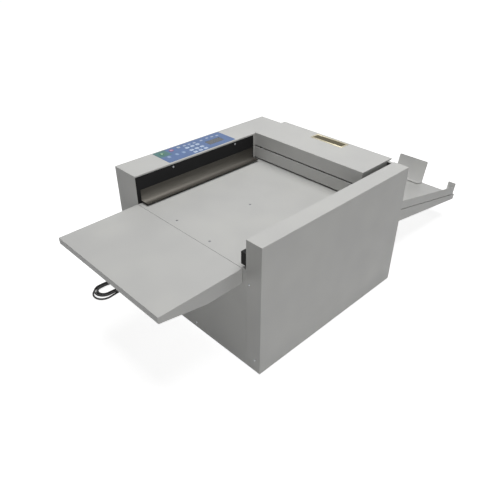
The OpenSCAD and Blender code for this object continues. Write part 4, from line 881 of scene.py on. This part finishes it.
# %% Screw tree
screw_rows, given, result = new_tree("screw_rows", {
    "Head": "NodeSocketObject", "Facing": "NodeSocketRotation", "Finish": "NodeSocketMaterial"})
pattern = add(screw_rows, "GeometryNodeObjectInfo", {"Object": given["Head"], "As Instance": True})
set_down = add(screw_rows, "GeometryNodeInstanceOnPoints", {
    "Points": given["Geometry"], "Instance": pattern.outputs["Geometry"], "Rotation": given["Facing"]})
solid = add(screw_rows, "GeometryNodeRealizeInstances", {"Geometry": set_down.outputs["Instances"]})
plated = add(screw_rows, "GeometryNodeSetMaterial", {
    "Geometry": solid.outputs["Geometry"], "Material": given["Finish"]})
screw_rows.links.new(plated.outputs["Geometry"], result["Geometry"])
print("screw tree", len(screw_rows.nodes), "nodes")

# %% Screws in place
MOTOR_HOLE = 23.6
MOTORS = [(500, 270.5), (600, 210.5)]
BED_HEIGHT = 375.5
black_zinc = metal("black_zinc_screw", "#3a3a3c", "#505052", 0.4, 2, (1, 1, 1), 0.004)
SCREWS = {
    "front_screws": (pan_head, (math.pi / 2, 0.3, 0), zinc_plate,
                     [at(652, 0, 332), at(678, 0, 54), at(397, 0, 28)]),
    "plate_screws": (pan_head, (0, math.pi / 2, 0), zinc_plate,
                     [at(117.5, 157, 463.5), at(117.5, 448, 463.5)]),
    "bed_screws": (flush_head, (0, 0, 0.4), dull_zinc,
                   [at(292, 29, BED_HEIGHT), at(458, 24, BED_HEIGHT), at(379, 271, BED_HEIGHT)]),
    "motor_screws": (pan_head, (0, -math.pi / 2, 0), black_zinc,
                     [at(100, y + dy, z + dz) for y, z in MOTORS
                      for dy in (-MOTOR_HOLE, MOTOR_HOLE) for dz in (-MOTOR_HOLE, MOTOR_HOLE)]),
}
for name, (head, facing, material, points) in SCREWS.items():
    row = grown(name, points, screw_rows, Head=head, Facing=Euler(facing), Finish=material)
    finish(row, "machine", None, ["machine_screws"])
    print(name, len(points), "screws,", len(row.data.polygons), "faces")
for head in (pan_head, flush_head):
    bpy.data.objects.remove(head)

# %% [markdown]
# ## The badge
# A champagne gold frame with a raised lip outside and inside, round a dark bronze plate. The plate
# is left bare. The frame is a profile swept round a rectangle with mitred corners.

# %% Badge
BADGE_MIDDLE = at(371.5, 694, 482.5)
BADGE_WIDTH, BADGE_DEPTH = 147, 44
RIM = [(0, 0), (0, 0.7), (0.5, 1.3), (1.2, 1.6), (1.9, 1.3), (2.3, 0.9), (5.0, 0.8), (5.4, 1.2), (6.0, 1.5),
       (6.6, 1.2), (7.0, 0.6), (7.0, 0)]
rim = bmesh.new()
loops = []
for sx, sy in ((-1, -1), (1, -1), (1, 1), (-1, 1)):
    loops.append([rim.verts.new(BADGE_MIDDLE + Vector((
        sx * (BADGE_WIDTH / 2 - inset) * MM, sy * (BADGE_DEPTH / 2 - inset) * MM, height * MM)))
        for inset, height in RIM])
for k in range(4):
    here, there = loops[k], loops[(k + 1) % 4]
    for j in range(len(RIM)):
        n = (j + 1) % len(RIM)
        rim.faces.new((here[j], there[j], there[n], here[n]))
bmesh.ops.recalc_face_normals(rim, faces=rim.faces)
badge_rim = piece_from("badge_rim", rim)
badge_rim.data.set_sharp_from_angle(angle=ROUND_SHARP)
finish(badge_rim, "cover", badge_gold, ["badge_frame"])
finish(softened("badge_inlay", "badge_plate", fold=0.2, cut=0.2), "cover", badge_bronze,
       ["badge_plate"])

# %% [markdown]
# ## The rocker switch
# The rocker tilts on its pins. Its face is dished from the middle, so that a finger finds the end
# to press: a wedge is cut from the CAD solid's flat face. Each half then carries the sign that any
# mains switch has, a line and a ring. The ring is a pale disc with a black one on it.

# %% Rocker
ROCKER_PIN, ROCKER_TILT = at(15, 304, 78), math.radians(9)
DISH_FLOOR, DISH_SLOPE, DISH_WIDE = -6.1, 0.1, 14
tilted = Matrix.Translation(ROCKER_PIN) @ Matrix.Rotation(ROCKER_TILT, 4, "Y")


def on_rocker(depth, up):
    """A place in the middle of the rocker, depth mm behind the pin and up mm above it."""
    return tilted @ Vector((depth * MM, 0, up * MM))


wedge = bmesh.new()
corners = [(DISH_FLOOR, 0), (DISH_FLOOR - DISH_SLOPE * DISH_WIDE, -DISH_WIDE),
           (DISH_FLOOR - DISH_SLOPE * DISH_WIDE, DISH_WIDE)]
near, far = ([wedge.verts.new(on_rocker(*corner) + Vector((0, aside * MM, 0))) for corner in corners]
             for aside in (-DISH_WIDE, DISH_WIDE))
wedge.faces.new(near)
wedge.faces.new(reversed(far))
for k in range(3):
    wedge.faces.new((near[k], near[k - 1], far[k - 1], far[k]))
bmesh.ops.recalc_face_normals(wedge, faces=wedge.faces)
dish = piece_from("rocker_dish", wedge)
rocker = softened("rocker_cap", "power_switch", fold=0.8, cut=0.4)
hollow = rocker.modifiers.new("dish", "BOOLEAN")
hollow.operation, hollow.object = "DIFFERENCE", dish
baked(rocker)
bpy.data.objects.remove(dish)
rocker.data.set_sharp_from_angle(angle=BENT)
finish(rocker, "rocker", rocker_nylon, ["power_switch"])

# %% Line and ring
LINE = [(-2.2, -0.4), (2.2, -0.4), (2.2, 0.4), (-2.2, 0.4)]
SIGN_UP = 5
for name, half, outline, material, layer in (
        ("rocker_line", 1, LINE, white_key, 0), ("rocker_ring", -1, disc(2.1), white_key, 0),
        ("rocker_ring_middle", -1, disc(1.4), rocker_nylon, 1)):
    middle = on_rocker(DISH_FLOOR - DISH_SLOPE * SIGN_UP - layer * LEGEND_DEPTH, SIGN_UP * half)
    lean = Matrix.Rotation(ROCKER_TILT - half * math.atan(DISH_SLOPE) - math.pi / 2, 4, "Y")
    printed(name, outline, middle, material, "rocker", turn=lean)

# %% Cord rides on the machine
finish(power_cord, "machine", None, ["cord_runs", "cord_hank"])

# %% [markdown]
# ## Floor and light
# The floor and the background are white to the camera and to reflections, as the cut-out in the
# photograph is, but hardly light the machine. Near the machine the floor glows a little less and
# keeps its lit shade, so a soft shadow stays on it. Farther out it turns as white as the background.
# A large soft lamp above makes the tops the lightest faces, a weaker one from the right lights the
# far-side housing, and the front is left in the shade.

# %% Rays that carry a picture
def looked_at(tree):
    """1 for the rays that carry a picture: to the camera, off a gloss or through glass."""
    rays = add(tree, "ShaderNodeLightPath").outputs
    seen = add(tree, "ShaderNodeMath", {0: rays["Is Camera Ray"], 1: rays["Is Glossy Ray"]},
               operation="MAXIMUM")
    return add(tree, "ShaderNodeMath", {0: seen.outputs[0], 1: rays["Is Transmission Ray"]},
               operation="MAXIMUM").outputs[0]


# %% Floor
FLOOR_SIZE = 30.0
NEAR_GLOW, NEAR_EDGE, FAR_EDGE = 0.86, 1.0, 3.0
floor_mesh = bpy.data.meshes.new("floor")
half = FLOOR_SIZE / 2
floor_mesh.from_pydata(
    [(-half, -half, 0), (half, -half, 0), (half, half, 0), (-half, half, 0)], [], [(0, 1, 2, 3)])
floor = bpy.data.objects.new("floor", floor_mesh)
bpy.context.scene.collection.objects.link(floor)
floor_paint = bpy.data.materials.new("white_floor_paint")
floor_paint.use_nodes = True
tree = floor_paint.node_tree
tree.nodes.clear()
away = add(tree, "ShaderNodeVectorMath", {0: add(tree, "ShaderNodeTexCoord").outputs["Object"]},
           operation="LENGTH").outputs["Value"]
paleness = add(tree, "ShaderNodeMapRange", {
    "Value": away, "From Min": NEAR_EDGE, "From Max": FAR_EDGE, "To Min": NEAR_GLOW, "To Max": 1.0,
}).outputs["Result"]
glow = add(tree, "ShaderNodeMath", {0: looked_at(tree), 1: paleness}, operation="MULTIPLY")
white = add(tree, "ShaderNodeEmission", {"Color": (1, 1, 1, 1), "Strength": glow.outputs[0]})
lit = add(tree, "ShaderNodeBsdfDiffuse", {"Color": colour("#d6d6d6")})
both = add(tree, "ShaderNodeAddShader", {0: white.outputs[0], 1: lit.outputs[0]})
add(tree, "ShaderNodeOutputMaterial", {"Surface": both.outputs[0]})
floor_mesh.materials.append(floor_paint)
print("floor", FLOOR_SIZE, "m wide")

# %% Background
UNSEEN_SKY = 0.03
world = bpy.data.worlds.new("studio")
bpy.context.scene.world = world
world.use_nodes = True
tree = world.node_tree
tree.nodes.clear()
shade = add(tree, "ShaderNodeMapRange", {"Value": looked_at(tree), "To Min": UNSEEN_SKY, "To Max": 1.0})
sky = add(tree, "ShaderNodeBackground", {"Color": (1, 1, 1, 1), "Strength": shade.outputs["Result"]})
add(tree, "ShaderNodeOutputWorld", {"Surface": sky.outputs[0]})


# %% Lamps
def lamp(name, place, target, size, power):
    """A square area lamp that faces a target."""
    data = bpy.data.lights.new(name, "AREA")
    data.shape, data.size, data.energy = "SQUARE", size, power
    made = bpy.data.objects.new(name, data)
    made.location = place
    made.rotation_euler = (Vector(target) - Vector(place)).to_track_quat("-Z", "Y").to_euler()
    bpy.context.scene.collection.objects.link(made)
    print(name, power, "W")


lamp("overhead_softbox", (0.1, -0.05, 2.8), (0, -0.05, 0.3), 2.4, 63)
lamp("right_softbox", (2.7, -1.7, 0.8), (0.2, -0.2, 0.3), 1.6, 15)

# %% Picture settings
bpy.context.scene.view_settings.view_transform = "Standard"
